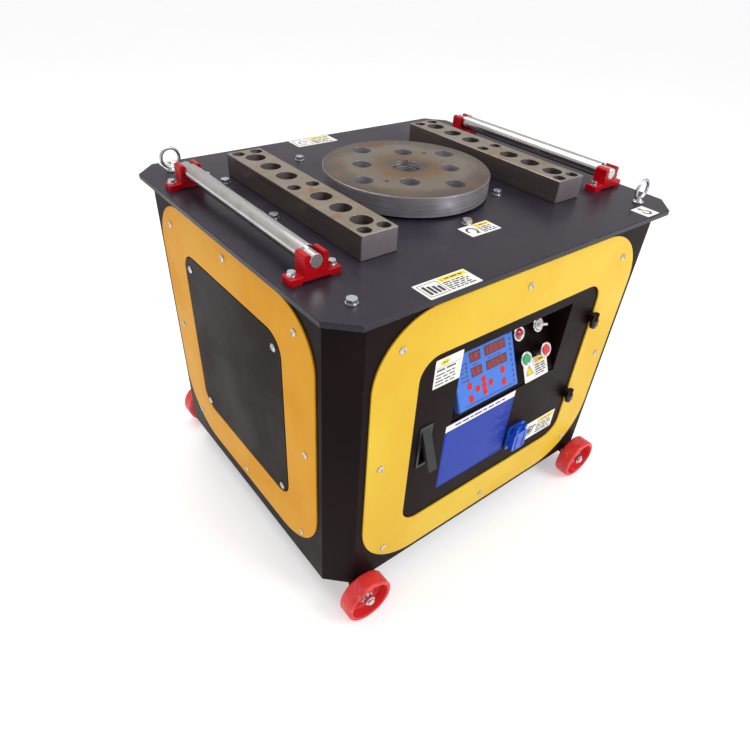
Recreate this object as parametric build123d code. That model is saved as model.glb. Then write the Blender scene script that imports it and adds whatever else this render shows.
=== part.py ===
"""Rebar bender: octagonal steel cabinet on four wheels, slotted table top with a turning
bending disc, two pin bars and two feed rollers, geared drive and motor inside, and a hinged
control door at the front. Millimetres, +Z up, origin on the floor under the middle of the
machine, control door facing -Y."""
from build123d import *
from math import acos, cos, degrees, pi, radians, sin, tan
import os

os.makedirs("parts", exist_ok=True)

# ---------------------------------------------------------------- driving sizes
# Heights are counted from a datum inside the wheels; keep() and group() raise every
# piece by LIFT, which puts the wheels' lowest line on the floor at z = 0.
TABLE_TOP = 735.0            # the table's working face, 756 above the floor
TABLE_T = 10.0
TABLE_X, TABLE_Y, TABLE_CHAMFER = 888.0, 770.0, 45.0
BODY_X, BODY_Y, BODY_CHAMFER = 852.0, 730.0, 48.0
BODY_BOTTOM = 56.0
SHEET = 3.0                  # cabinet sheet and trim ring thickness
SEAM_X = 291.0               # where the wrapped side sheets meet the front and rear panels

DISC_D, DISC_GAP, DISC_T = 350.0, 5.0, 38.5
DISC_TURN = -36.0            # turn of the 3 x 3 pin grid at rest, degrees
PIN_PITCH, PIN_HOLE_D = 91.5, 41.5
CENTRE_BORE_D, CENTRE_RECESS_D, CENTRE_RECESS_DEPTH = 44.0, 64.0, 8.0

BAR_AT = {-1: (-248.0, 7.0), 1: (250.0, 0.0)}
BAR_W, BAR_L, BAR_H = 78.0, 468.0, 46.0
BAR_HOLE_Y = (60.0, 121.0, 182.0)
BAR_SCREW_Y, BAR_SCREW_X = (-217.0, 0.0, 217.0), 20.5
BAR_SCREW_SINK_D = 26.0

ROLLER_X, ROLLER_RISE = {-1: -381.0, 1: 389.0}, 33.0
ROLLER_R, JOURNAL_R = 16.0, 12.0
BRACKET_Y = (-225.0, 225.0)
BRACKET_W, BRACKET_D, BRACKET_FLANGE_T, BRACKET_H = 95.0, 28.0, 12.0, 46.0
FORK_W, BRACKET_BOLT_X = 44.0, 37.5

EYE_X, EYE_Y, EYE_R, EYE_WIRE_R, EYE_RISE = 378.0, 323.0, 19.4, 3.4, 28.0
EYE_COLLAR_R, EYE_SHANK_R = 11.5, 6.0
TABLE_BOLTS = ((-376, -324), (376, 324), (-313, 205), (313, 205), (-318, 0), (318, 0),
               (-103, 252), (103, 252), (144, -133), (-20, -208))

FRONT_RING = dict(half=362.5, z0=71.0, z1=708.5, r_top=135.0, r_low=150.0)
FRONT_HOLE = dict(half=257.5, z0=170.0, z1=603.0, r_top=46.0, r_low=46.0)
SIDE_RING = dict(half=301.0, z0=99.0, z1=707.0, r_top=108.0, r_low=140.0)
SIDE_HOLE = dict(half=197.0, z0=203.0, z1=618.0, r_top=45.0, r_low=45.0)
FRONT_SCREWS = [(s * 304, z) for s in (-1, 1) for z in (128, 647)]
FRONT_SCREWS += [(0, 671), (0, 101), (-331, 388), (331, 388)]
SIDE_SCREWS = [(s * 243, z) for s in (-1, 1) for z in (144, 657)]
SIDE_SCREWS += [(0, 683), (0, 125), (-267, 397), (267, 397)]
SIDE_COVER_SCREWS = [(u, z) for u in (-170, 170) for z in (224, 584)]
REAR_COVER_SCREWS = [(u, z) for u in (-228, 228) for z in (198, 575)]
SCREW_R = 3.0

DOOR_GAP = 3.0
DOOR_RETURN = 18.0
CUT_X0, CUT_X1, CUT_Z0, CUT_Z1 = -151.0, 168.0, 405.0, 577.5
SLOPE = 23.0                 # console face, degrees from upright
CONTROLLER_X0, CONTROLLER_X1 = -136.0, 36.0
CONTROLLER_S0, CONTROLLER_S1, CONTROLLER_T = 18.0, 168.0, 14.0
BUTTON_X, BUTTON_ROW = (59.0, 122.0), (67.0, 122.0)
BUTTON_TRAVEL = 4.0
HINGE_X, HINGE_OUT, HINGE_Z, HINGE_R = 257.5, 12.0, (295.0, 510.0), 6.5
LOCK_X, LOCK_Z, LOCK_W, LOCK_H, LOCK_POP = -220.0, 383.0, 32.0, 108.0, 21.0
SOCKET_X, SOCKET_Z = 80.0, 253.0

WHEEL_R, WHEEL_W, WHEEL_X, WHEEL_FACE_Y = 56.0, 40.0, 365.5, 413.5
AXLE_Z = 35.0                # the axles, above the datum
LIFT = WHEEL_R - AXLE_Z
HUB_W = 24.0
LUG_Y, LUG_T, LUG_W = 359.0, 9.5, 26.0
AXLE_R, SPACER_R = 8.0, 13.0
PAN_Z, PAN_EDGE_TOP = 72.0, 92.0

TEETH_BIG, TEETH_SMALL = 80, 15
OUT_MODULE, IN_MODULE = 3.5, 3.0
OUT_CENTRES = OUT_MODULE * (TEETH_BIG + TEETH_SMALL) / 2
IN_CENTRES = IN_MODULE * (TEETH_BIG + TEETH_SMALL) / 2
MID_X, MID_Y = -OUT_CENTRES, 0.0
IN_X, IN_Y = MID_X, IN_CENTRES
MOTOR_X, MOTOR_Y = 160.0, 215.0
PULLEY_BIG_R, PULLEY_SMALL_R, PULLEY_Z0, PULLEY_Z1 = 120.0, 40.0, 500.0, 545.0
BELT_Z = (512.0, 533.0)
BOX_X0, BOX_X1, BOX_Y0, BOX_Y1, BOX_Z0, BOX_WALL = -302.0, 162.0, -162.0, 182.0, 566.0, 8.0
MAIN_R, MID_R, IN_R, ROTOR_R = 35.0, 17.5, 15.0, 14.0
FIT = 0.05                   # running clearance of a journal in its bearing
CLEAR = 0.3                  # clearance between other moving faces

BODY_TOP = TABLE_TOP - TABLE_T
DISC_Z0 = TABLE_TOP + DISC_GAP
FRONT = Plane((0, -BODY_Y / 2, 0), x_dir=(1, 0, 0), z_dir=(0, -1, 0)).location
REAR = Plane((0, BODY_Y / 2, 0), x_dir=(-1, 0, 0), z_dir=(0, 1, 0)).location
LEFT = Plane((-BODY_X / 2, 0, 0), x_dir=(0, -1, 0), z_dir=(-1, 0, 0)).location
RIGHT = Plane((BODY_X / 2, 0, 0), x_dir=(0, 1, 0), z_dir=(1, 0, 0)).location
CONSOLE = Plane((0, -BODY_Y / 2, CUT_Z0), x_dir=(1, 0, 0),
                z_dir=(0, -cos(radians(SLOPE)), sin(radians(SLOPE)))).location


# ---------------------------------------------------------------- small helpers
def block(x0, x1, y0, y1, z0, z1):
    """Axis-aligned box between two corners."""
    return Pos((x0 + x1) / 2, (y0 + y1) / 2, (z0 + z1) / 2) * Box(x1 - x0, y1 - y0, z1 - z0)


def rod(r, z0, z1, x=0.0, y=0.0):
    """Upright cylinder."""
    return Pos(x, y, (z0 + z1) / 2) * Cylinder(r, z1 - z0)


def tube(r_out, r_in, z0, z1, x=0.0, y=0.0):
    """Upright ring."""
    return rod(r_out, z0, z1, x, y) - rod(r_in, z0 - 1, z1 + 1, x, y)


def hexagon(across, z0, z1, x=0.0, y=0.0):
    """Upright hexagonal prism, size across flats."""
    return Pos(x, y, z0) * extrude(RegularPolygon(across / 2, 6, major_radius=False), z1 - z0)


def octagon(size_x, size_y, chamfer, z0, z1):
    """Upright prism: a rectangle with its four corners cut at 45 degrees."""
    hx, hy, c = size_x / 2, size_y / 2, chamfer
    outline = [(hx - c, -hy), (hx, c - hy), (hx, hy - c), (hx - c, hy),
               (c - hx, hy), (-hx, hy - c), (-hx, c - hy), (c - hx, -hy)]
    return Pos(0, 0, z0) * extrude(make_face(Polyline(*outline, close=True)), z1 - z0)


def shell(inset, thick, z0, z1):
    """Octagonal wall that follows the cabinet, its outer face inset from the cabinet's."""
    slant = BODY_CHAMFER - inset * (2 - 2 ** 0.5)
    slant_in = BODY_CHAMFER - (inset + thick) * (2 - 2 ** 0.5)
    outer = octagon(BODY_X - 2 * inset, BODY_Y - 2 * inset, slant, z0, z1)
    both = 2 * (inset + thick)
    return outer - octagon(BODY_X - both, BODY_Y - both, slant_in, z0 - 1, z1 + 1)


def face_plate(half, z0, z1, r_top, r_low, w0, w1, grow=0.0):
    """Rounded plate in a cabinet face's frame: u across, v up, w outward."""
    width, height = 2 * (half + grow), z1 - z0 + 2 * grow
    flat = Pos(0, (z0 + z1) / 2) * Rectangle(width, height)
    flat = fillet(flat.vertices().sort_by(Axis.Y)[-2:], r_top + grow)
    flat = fillet(flat.vertices().sort_by(Axis.Y)[:2], r_low + grow)
    return Pos(0, 0, w0) * extrude(flat, w1 - w0)


def drill(places, r, w0, w1):
    """Pins or hole cutters normal to a face at a list of places."""
    return [Pos(u, v, (w0 + w1) / 2) * Cylinder(r, w1 - w0) for u, v in places]


def involute_gear(teeth, module, z0, z1, x, y, tooth_at):
    """Stub-tooth involute spur gear with one tooth pointing at the given angle (degrees)."""
    pressure = radians(20)
    pitch_r = module * teeth / 2
    base_r, tip_r, root_r = pitch_r * cos(pressure), pitch_r + 0.8 * module, pitch_r - 1.1 * module
    backlash = 0.45
    half_at_pitch = (pi * module / 2 - backlash) / 2 / pitch_r
    pitch_roll = tan(pressure) - pressure
    start_r = max(base_r, root_r)
    flank = []
    for step in range(5):
        r = start_r + (tip_r - start_r) * step / 4
        turn = acos(min(1.0, base_r / r))
        flank.append((r, half_at_pitch + pitch_roll - (tan(turn) - turn)))
    if root_r < base_r:
        flank.insert(0, (root_r, flank[0][1]))
    outline = []
    for tooth in range(teeth):
        mid = radians(tooth_at) + 2 * pi * tooth / teeth
        for r, half in flank:
            outline.append((r * cos(mid - half), r * sin(mid - half)))
        for r, half in reversed(flank):
            outline.append((r * cos(mid + half), r * sin(mid + half)))
    return Pos(x, y, z0) * extrude(make_face(Polyline(*outline, close=True)), z1 - z0)


def keep(name, shape):
    """Write one named piece, raised to its height above the floor."""
    export_step(Pos(0, 0, LIFT) * shape, f"parts/{name}.step")


def group(name, shapes):
    """Write several separate solids as one named group."""
    raised = Compound(children=[Pos(0, 0, LIFT) * shape for shape in shapes])
    export_step(raised, f"parts/{name}.step")


# ---------------------------------------------------------------- table and what stands on it
def hex_bolt(x, y, seat, across, head, washer_r, shank_r, reach):
    """Hexagon bolt with a spring washer and a flat washer under its head."""
    flat = rod(washer_r, seat, seat + 1.6, x, y)
    spring = rod(washer_r * 0.8, seat + 1.6, seat + 3.4, x, y)
    cap = hexagon(across, seat + 3.4, seat + 3.4 + head, x, y)
    cap = cap & (Pos(x, y, seat + 3.4) * Cone(across * 0.72, across * 0.52, head,
                                              align=(Align.CENTER, Align.CENTER, Align.MIN)))
    return flat + spring + cap + rod(shank_r, seat - reach, seat, x, y)


def table_plate():
    plate = octagon(TABLE_X, TABLE_Y, TABLE_CHAMFER, BODY_TOP, TABLE_TOP)
    plate = chamfer(plate.faces().sort_by(Axis.Z)[-1].edges(), 1.0)
    cuts = [rod(80, BODY_TOP - 1, TABLE_TOP + 1)]
    cuts += [rod(5.1, BODY_TOP - 1, TABLE_TOP + 1, x, y) for x, y in TABLE_BOLTS]
    cuts += [rod(EYE_SHANK_R + 0.1, BODY_TOP - 1, TABLE_TOP + 1, s * EYE_X, -s * EYE_Y)
             for s in (-1, 1)]
    for side in (-1, 1):
        for y in BRACKET_Y:
            for bolt in (-1, 1):
                x = ROLLER_X[side] + bolt * BRACKET_BOLT_X
                cuts.append(rod(4.1, BODY_TOP - 1, TABLE_TOP + 1, x, y))
        cuts += [rod(8.1, BODY_TOP - 1, TABLE_TOP + 1, x, y) for x, y in bar_screw_places(side)]
    return plate - cuts


def bar_screw_places(side):
    x, y = BAR_AT[side]
    return [(x + screw * BAR_SCREW_X, y + row) for row in BAR_SCREW_Y for screw in (-1, 1)]


def pin_bar(side):
    top = TABLE_TOP + BAR_H
    x, y = BAR_AT[side]
    bar = Pos(x, y, TABLE_TOP + BAR_H / 2) * Box(BAR_W, BAR_L, BAR_H)
    bar = chamfer(bar.edges(), 1.2)
    cuts = [rod(PIN_HOLE_D / 2, TABLE_TOP - 1, top + 1, x, y + s * hole)
            for hole in BAR_HOLE_Y for s in (-1, 1)]
    for place in bar_screw_places(side):
        cuts.append(rod(8.3, TABLE_TOP - 1, top + 1, *place))
        cuts.append(rod(BAR_SCREW_SINK_D / 2, top - 20, top + 1, *place))
    return bar - cuts


def bar_screws():
    screws = []
    seat = TABLE_TOP + BAR_H - 20
    for side in (-1, 1):
        for x, y in bar_screw_places(side):
            screw = rod(12, seat, seat + 12, x, y) + rod(8, BODY_TOP, seat, x, y)
            screws.append(screw - hexagon(13, seat + 5, seat + 13, x, y))
    return screws


def roller_bracket(side, y):
    """Foot with two bolt flanges and a fork whose open slot carries the roller's journal."""
    slot_r = JOURNAL_R + CLEAR
    x, z = ROLLER_X[side], TABLE_TOP
    foot = Pos(x, y, z + BRACKET_FLANGE_T / 2) * Box(BRACKET_W, BRACKET_D, BRACKET_FLANGE_T)
    foot = fillet(foot.edges().filter_by(Axis.Z), 3)
    foot = fillet(foot.edges().group_by(Axis.Z)[-1], 1.2)
    fork = Pos(x, y, z + BRACKET_H / 2) * Box(FORK_W, BRACKET_D, BRACKET_H)
    upper = fork.edges().filter_by(Axis.Y).group_by(Axis.Z)[-1]
    fork = fillet(upper, 5)
    slot = block(x - slot_r, x + slot_r, y - 30, y + 30, z + ROLLER_RISE, z + BRACKET_H + 1)
    bed = Pos(x, y, z + ROLLER_RISE) * Rot(90, 0, 0) * Cylinder(slot_r, 60)
    relief = block(x - 27, x + 27, y - 30, y + 30, z - 1, z + 3)
    holes = [rod(4.1, z - 1, z + 20, x + s * BRACKET_BOLT_X, y) for s in (-1, 1)]
    return foot + fork - [slot, bed, relief] - holes


def roller(side):
    """Bright steel roller with a stepped journal at each end."""
    inner = [BRACKET_Y[0] + BRACKET_D / 2 + 1, BRACKET_Y[1] - BRACKET_D / 2 - 1]
    outer = [BRACKET_Y[0] - BRACKET_D / 2, BRACKET_Y[1] + BRACKET_D / 2]
    lie = Pos(ROLLER_X[side], 0, TABLE_TOP + ROLLER_RISE) * Rot(-90, 0, 0)
    drum = rod(ROLLER_R, inner[0], inner[1])
    drum = chamfer(drum.edges(), 1.0)
    pin = chamfer(rod(JOURNAL_R, outer[0], outer[1]).edges(), 0.8)
    return lie * (drum + pin)


def eyebolt(x, y):
    ring = Pos(x, y, TABLE_TOP + EYE_RISE) * Rot(90, 0, 0) * Torus(EYE_R, EYE_WIRE_R)
    collar = chamfer(rod(EYE_COLLAR_R, TABLE_TOP, TABLE_TOP + 4, x, y).edges(), 0.8)
    neck = Pos(x, y, TABLE_TOP + 3.5) * Cone(8, 5.5, 5, align=(Align.CENTER, Align.CENTER, Align.MIN))
    return ring + collar + neck + rod(EYE_SHANK_R, BODY_TOP, TABLE_TOP + 1, x, y)


# ---------------------------------------------------------------- cabinet
def side_sheet(side, face):
    """Sheet wrapped round two chamfered corners on to the front and rear faces."""
    wall = shell(0, SHEET, BODY_BOTTOM, BODY_TOP)
    reach = BODY_X
    if side < 0:
        wall = wall & block(-reach, -SEAM_X, -reach, reach, 0, TABLE_TOP)
    else:
        wall = wall & block(SEAM_X, reach, -reach, reach, 0, TABLE_TOP)
    cuts = [face * Pos(0, 404, 0) * Box(330, 330, 20)]
    cuts += [face * c for c in drill(SIDE_SCREWS + SIDE_COVER_SCREWS, SCREW_R + 0.2, -9, 3)]
    for plane in (FRONT, REAR):
        corner = [p for p in FRONT_SCREWS if abs(p[0]) > SEAM_X]
        cuts += [plane * c for c in drill(corner, SCREW_R + 0.2, -9, 3)]
    return wall - cuts


def end_panel(face, opening):
    """Front or rear panel between the wrapped side sheets."""
    gap = 0.3
    height = BODY_TOP - BODY_BOTTOM
    panel = face * Pos(0, (BODY_TOP + BODY_BOTTOM) / 2, -SHEET / 2) \
        * Box(2 * (SEAM_X - gap), height, SHEET)
    cuts = [face * opening]
    middle = [p for p in FRONT_SCREWS if abs(p[0]) < SEAM_X]
    cuts += [face * c for c in drill(middle, SCREW_R + 0.2, -9, 3)]
    return panel - cuts


def trim_ring(face, outer, hole, screws):
    ring = face_plate(**outer, w0=0, w1=SHEET) - face_plate(**hole, w0=-1, w1=SHEET + 1)
    return face * (ring - drill(screws, SCREW_R + 0.2, -1, SHEET + 1))


def pan_screw(u, v, seat, head_r=7.0):
    """Domed cross-recess screw in a face's frame."""
    dome = Pos(u, v, seat) * (Cylinder(head_r, 8) & (Pos(0, 0, -8) * Sphere(12.0)))
    dome = dome & (Pos(u, v, seat + 5) * Box(40, 40, 10))
    cross = Pos(u, v, seat + 4) * (Box(6, 1.4, 4) + Box(1.4, 6, 4))
    return dome + (Pos(u, v, seat - 5) * Cylinder(SCREW_R, 10)) - cross


def panel_screws():
    screws = []
    for face, places in ((FRONT, FRONT_SCREWS), (REAR, FRONT_SCREWS),
                         (LEFT, SIDE_SCREWS), (RIGHT, SIDE_SCREWS)):
        screws += [face * pan_screw(u, v, SHEET) for u, v in places]
    for face, places in ((LEFT, SIDE_COVER_SCREWS), (RIGHT, SIDE_COVER_SCREWS),
                         (REAR, REAR_COVER_SCREWS)):
        screws += [face * pan_screw(u, v, SHEET, 8.0) for u, v in places]
    return screws


def cover_plate(face, hole, screws, louvres=False):
    """Black cover inside a trim ring, screwed on over the access opening."""
    plate = face_plate(**hole, w0=0, w1=SHEET, grow=-DOOR_GAP)
    cuts = drill(screws, SCREW_R + 0.2, -1, SHEET + 1)
    if louvres:
        for column in (-95, 95):
            for row in range(9):
                cuts.append(Pos(column, 300 + 24 * row, 0) * Box(140, 7, 20))
        cuts += drill([(-180, 225)], 10.2, -1, SHEET + 1)
    return face * (plate - cuts)


def axle_cutters(r, y0, y1):
    """Cutters along the four wheel axles, between two distances from the middle."""
    mid, length = (y0 + y1) / 2, y1 - y0
    return [Pos(sx * WHEEL_X, sy * mid, AXLE_Z) * Rot(90, 0, 0) * Cylinder(r, length)
            for sx in (-1, 1) for sy in (-1, 1)]


def base_pan():
    """Floor pan with a bent edge and a lug at each corner for the wheel axles."""
    inset = SHEET + 0.2
    inner = BODY_CHAMFER - inset * (2 - 2 ** 0.5)
    pan = octagon(BODY_X - 2 * inset, BODY_Y - 2 * inset, inner, PAN_Z, PAN_Z + 4)
    pan = pan + shell(inset, 4, BODY_BOTTOM, PAN_EDGE_TOP)
    for sx in (-1, 1):
        for sy in (-1, 1):
            y_mid = sy * (LUG_Y - LUG_T / 2)
            foot = AXLE_Z - LUG_W / 2
            lug = Pos(sx * WHEEL_X, y_mid, (foot + PAN_Z + 4) / 2) \
                * Box(LUG_W, LUG_T, PAN_Z + 4 - foot)
            pan = pan + fillet(lug.edges().filter_by(Axis.Y).group_by(Axis.Z)[0], 10)
    return pan - axle_cutters(AXLE_R + 0.1, LUG_Y - LUG_T - 1, LUG_Y + 1)


def wheel(sx, sy):
    """Moulded wheel: hollowed outer face, plain bore."""
    rim, web = WHEEL_R - 8, 14
    profile = Polyline((AXLE_R + FIT, 0), (WHEEL_R - 7, 0), (WHEEL_R - 2, 2), (WHEEL_R, 5),
                       (WHEEL_R, WHEEL_W - 4), (WHEEL_R - 1.5, WHEEL_W - 1.2),
                       (WHEEL_R - 4, WHEEL_W), (rim, WHEEL_W), (rim - 1.5, WHEEL_W - 2),
                       (rim - 3, web + 4), (rim - 7, web), (24, web), (21, web + 2),
                       (19, HUB_W - 1), (18, HUB_W), (AXLE_R + FIT, HUB_W), close=True)
    solid = revolve(Plane.XZ * make_face(profile), Axis.Z)
    inner = WHEEL_FACE_Y - WHEEL_W
    turn = Rot(90, 0, 0) if sy < 0 else Rot(-90, 0, 0)
    return Pos(sx * WHEEL_X, sy * inner, AXLE_Z) * turn * solid


def wheel_axles():
    """Per wheel: bolt through the lug with spacer, washers, outer nut and inner head."""
    axles = []
    hub_end = WHEEL_FACE_Y - WHEEL_W + HUB_W
    for sx in (-1, 1):
        for sy in (-1, 1):
            turn = Rot(90, 0, 0) if sy < 0 else Rot(-90, 0, 0)
            bolt = chamfer(rod(AXLE_R, LUG_Y - LUG_T - 2, hub_end + 19).edges(), 1.0)
            bolt = bolt + hexagon(24, LUG_Y - LUG_T - 12, LUG_Y - LUG_T)
            bolt = bolt + rod(SPACER_R, LUG_Y, WHEEL_FACE_Y - WHEEL_W - 0.5)
            bolt = bolt + rod(14, hub_end + 0.5, hub_end + 3)
            bolt = bolt + rod(12, hub_end + 3, hub_end + 5.5)
            bolt = bolt + hexagon(22, hub_end + 5.5, hub_end + 14)
            axles.append(Pos(sx * WHEEL_X, 0, AXLE_Z) * turn * bolt)
    return axles


# ---------------------------------------------------------------- bending spindle and gear train
def bending_disc():
    z1 = DISC_Z0 + DISC_T
    disc = rod(DISC_D / 2, DISC_Z0, z1)
    disc = chamfer(disc.edges().sort_by(Axis.Z)[-1], 1.5)
    cuts = [rod(CENTRE_BORE_D / 2, DISC_Z0 - 1, z1 + 1),
            rod(CENTRE_RECESS_D / 2, z1 - CENTRE_RECESS_DEPTH, z1 + 1)]
    for i in (-1, 0, 1):
        for j in (-1, 0, 1):
            if (i, j) != (0, 0):
                cuts.append(rod(PIN_HOLE_D / 2, DISC_Z0 - 1, z1 + 1, i * PIN_PITCH, j * PIN_PITCH))
    cuts.append(block(-7, 7, 22, 44, z1 - CENTRE_RECESS_DEPTH, z1 + 1))
    for s in (-1, 1):
        cuts.append(rod(6, z1 - 10, z1 + 1, s * PIN_PITCH / 2, s * PIN_PITCH))
    return Rot(0, 0, DISC_TURN) * (disc - cuts)


def main_shaft():
    shaft = rod(MAIN_R, BOX_Z0 + 2, DISC_Z0) + rod(75, DISC_Z0 - 12, DISC_Z0)
    return shaft - rod(CENTRE_BORE_D / 2, DISC_Z0 - 45, DISC_Z0 + 1)


def gear_train():
    """Two spur stages; every pair stands tooth in gap along its line of centres."""
    half_pitch = 180 / TEETH_SMALL
    out_gear = involute_gear(TEETH_BIG, OUT_MODULE, 600, 640, 0, 0, 180)
    out_web = tube(112, 52, 627, 641) + tube(112, 52, 599, 613)
    keep("output_gear", out_gear - out_web - rod(MAIN_R, 590, 650))
    pinion = involute_gear(TEETH_SMALL, OUT_MODULE, 598, 642, MID_X, MID_Y, -half_pitch)
    keep("intermediate_shaft", pinion + rod(MID_R, BOX_Z0 + 2, 712, MID_X, MID_Y))
    mid_gear = involute_gear(TEETH_BIG, IN_MODULE, 655, 685, MID_X, MID_Y, 90)
    mid_web = tube(96, 34, 676, 686, MID_X, MID_Y) + tube(96, 34, 654, 664, MID_X, MID_Y)
    keep("intermediate_gear", mid_gear - mid_web - rod(MID_R, 650, 690, MID_X, MID_Y))
    driver = involute_gear(TEETH_SMALL, IN_MODULE, 653, 687, IN_X, IN_Y, 270 - half_pitch)
    keep("input_shaft", driver + rod(IN_R, 492, 712, IN_X, IN_Y))


def v_pulley(pitch_r, bore_r, x, y):
    """Two-groove pulley with a dished web."""
    rim = pitch_r + 5
    profile = [(bore_r, PULLEY_Z0), (rim, PULLEY_Z0)]
    for z in BELT_Z:
        profile += [(rim, z - 8), (pitch_r - 8, z - 6), (pitch_r - 8, z + 6), (rim, z + 8)]
    profile += [(rim, PULLEY_Z1), (bore_r, PULLEY_Z1)]
    solid = revolve(Plane.XZ * make_face(Polyline(*profile, close=True)), Axis.Z)
    if pitch_r > 80:
        solid = solid - tube(pitch_r - 18, 32, PULLEY_Z0 - 1, PULLEY_Z0 + 16)
        solid = solid - tube(pitch_r - 18, 32, PULLEY_Z1 - 16, PULLEY_Z1 + 1)
    return Pos(x, y, 0) * solid


def belt_outline(grow):
    """Area inside a belt line grown by a margin round both pulleys."""
    dx, dy = MOTOR_X - IN_X, MOTOR_Y - IN_Y
    span = (dx * dx + dy * dy) ** 0.5
    big, small = PULLEY_BIG_R + grow, PULLEY_SMALL_R + grow
    lean = degrees(acos((big - small) / span))
    heading = degrees(acos(dx / span))
    corners = []
    for angle, r, cx, cy in ((heading + lean, big, IN_X, IN_Y), (heading + lean, small, MOTOR_X, MOTOR_Y),
                             (heading - lean, small, MOTOR_X, MOTOR_Y), (heading - lean, big, IN_X, IN_Y)):
        corners.append((cx + r * cos(radians(angle)), cy + r * sin(radians(angle))))
    straight = make_face(Polyline(*corners, close=True))
    return straight + Pos(IN_X, IN_Y) * Circle(big) + Pos(MOTOR_X, MOTOR_Y) * Circle(small)


def drive_belts():
    loop = belt_outline(3.5) - belt_outline(-6.5)
    return [Pos(0, 0, z - 5) * extrude(loop, 10) for z in BELT_Z]


BEARINGS = ((0, 0, MAIN_R, 55, 20), (MID_X, MID_Y, MID_R, 31, 16), (IN_X, IN_Y, IN_R, 25, 14))
BEARING_WALL = 6.0


def gearbox_housing():
    """Open-bottomed casting under the table with a boss round each upper bearing."""
    body = block(BOX_X0, BOX_X1, BOX_Y0, BOX_Y1, BOX_Z0, BODY_TOP)
    body = fillet(body.edges().filter_by(Axis.Z), 24)
    hollow = block(BOX_X0 + BOX_WALL, BOX_X1 - BOX_WALL, BOX_Y0 + BOX_WALL, BOX_Y1 - BOX_WALL,
                   BOX_Z0 - 1, BODY_TOP - 10)
    body = body - fillet(hollow.edges().filter_by(Axis.Z), 16)
    for x, y, r, outer, height in BEARINGS:
        body = body + rod(outer + BEARING_WALL, BODY_TOP - 10 - height, BODY_TOP - 10, x, y)
    for x, y, r, outer, height in BEARINGS:
        body = body - rod(outer, BODY_TOP - 11 - height, BODY_TOP - 10, x, y)
    body = body - rod(MAIN_R + 1, BODY_TOP - 11, BODY_TOP + 1)
    return body


def gearbox_cover():
    plate = block(BOX_X0, BOX_X1, BOX_Y0, BOX_Y1, BOX_Z0 - 10, BOX_Z0)
    plate = fillet(plate.edges().filter_by(Axis.Z), 24)
    for x, y, r, outer, height in BEARINGS:
        plate = plate + tube(outer + BEARING_WALL, outer, BOX_Z0, BOX_Z0 + height, x, y)
    return plate - rod(IN_R + 1, BOX_Z0 - 11, BOX_Z0 + 1, IN_X, IN_Y)


def ball_bearings():
    rings = []
    for x, y, r, outer, height in BEARINGS:
        for z0 in (BOX_Z0, BODY_TOP - 10 - height):
            ring = tube(outer, r + FIT, z0, z0 + height, x, y)
            middle = (outer + r) / 2
            rings.append(ring - tube(middle + 3, middle - 3, z0 + height - 2, z0 + height + 1, x, y))
    return rings


def motor_housing():
    """Finned barrel standing upright between two end shields."""
    barrel = tube(88, 78, 200, 460, MOTOR_X, MOTOR_Y)
    for n in range(24):
        fin = Pos(MOTOR_X, MOTOR_Y, 330) * Rot(0, 0, 15 * n) * Pos(91, 0, 0) * Box(10, 3, 230)
        barrel = barrel + fin
    box = Pos(MOTOR_X + 100, MOTOR_Y, 370) * Box(44, 90, 80)
    return barrel + box - rod(78, 199, 461, MOTOR_X, MOTOR_Y)


def end_shields():
    upper = tube(92, ROTOR_R + FIT, 460, 474, MOTOR_X, MOTOR_Y)
    lower = tube(92, ROTOR_R + FIT, 186, 200, MOTOR_X, MOTOR_Y)
    return [upper, lower]


def rotor_shaft():
    core = rod(48, 250, 400, MOTOR_X, MOTOR_Y)
    return core + rod(ROTOR_R, 187, PULLEY_Z1, MOTOR_X, MOTOR_Y)


def motor_stand():
    top = block(MOTOR_X - 105, MOTOR_X + 105, MOTOR_Y - 105, MOTOR_Y + 105, 178, 186)
    top = top - rod(ROTOR_R + 4, 170, 190, MOTOR_X, MOTOR_Y)
    for sx in (-1, 1):
        for sy in (-1, 1):
            leg = Pos(MOTOR_X + 92 * sx, MOTOR_Y + 92 * sy, 127) * Box(20, 20, 102)
            top = top + leg
    return top


# ---------------------------------------------------------------- electrical gear
def electrical_panel():
    """Upright mounting plate on a foot, with rails for the switchgear."""
    plate = block(-190, 190, -152, -149, PAN_Z + 4, 420)
    foot = block(-190, 190, -149, -110, PAN_Z + 4, PAN_Z + 7)
    rails = [block(-170, 170, -160, -152, z, z + 30) for z in (180, 320)]
    return plate + foot + rails


def switchgear():
    parts = [block(x, x + 48, -235, -160, 295, 375) for x in (-160, -104, -48)]
    parts.append(block(30, 130, -240, -160, 290, 380))
    parts += [block(x, x + 22, -205, -160, 168, 222) for x in (-150, -126, -102, -78, -54, -30)]
    parts.append(block(30, 150, -200, -160, 172, 218))
    return parts


def cable_gland():
    """Dome-nut gland through the rear cover."""
    body = rod(10, -8, 6) + hexagon(27, SHEET, SHEET + 6) + hexagon(25, SHEET + 6, SHEET + 18)
    body = body + Pos(0, 0, SHEET + 18) * Cone(12, 8, 7, align=(Align.CENTER, Align.CENTER, Align.MIN))
    body = body + hexagon(27, -7, -0.5)
    return REAR * Pos(-180, 225, 0) * (body - rod(5.5, -10, 40))


# ---------------------------------------------------------------- control door
def door_knuckle(z):
    """Upper half of a lift-off hinge, on the door's face."""
    y = -BODY_Y / 2 - HINGE_OUT
    arm = block(HINGE_X - 15, HINGE_X - 2, y - 4, -BODY_Y / 2 + 1, z + CLEAR, z + 18)
    arm = arm - block(HINGE_X - DOOR_GAP, HINGE_X, -BODY_Y / 2 - SHEET, 0, z, z + 19)
    return rod(HINGE_R, z + CLEAR, z + 18, HINGE_X, y) + arm - rod(3 + FIT, z - 1, z + 17, HINGE_X, y)


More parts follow.
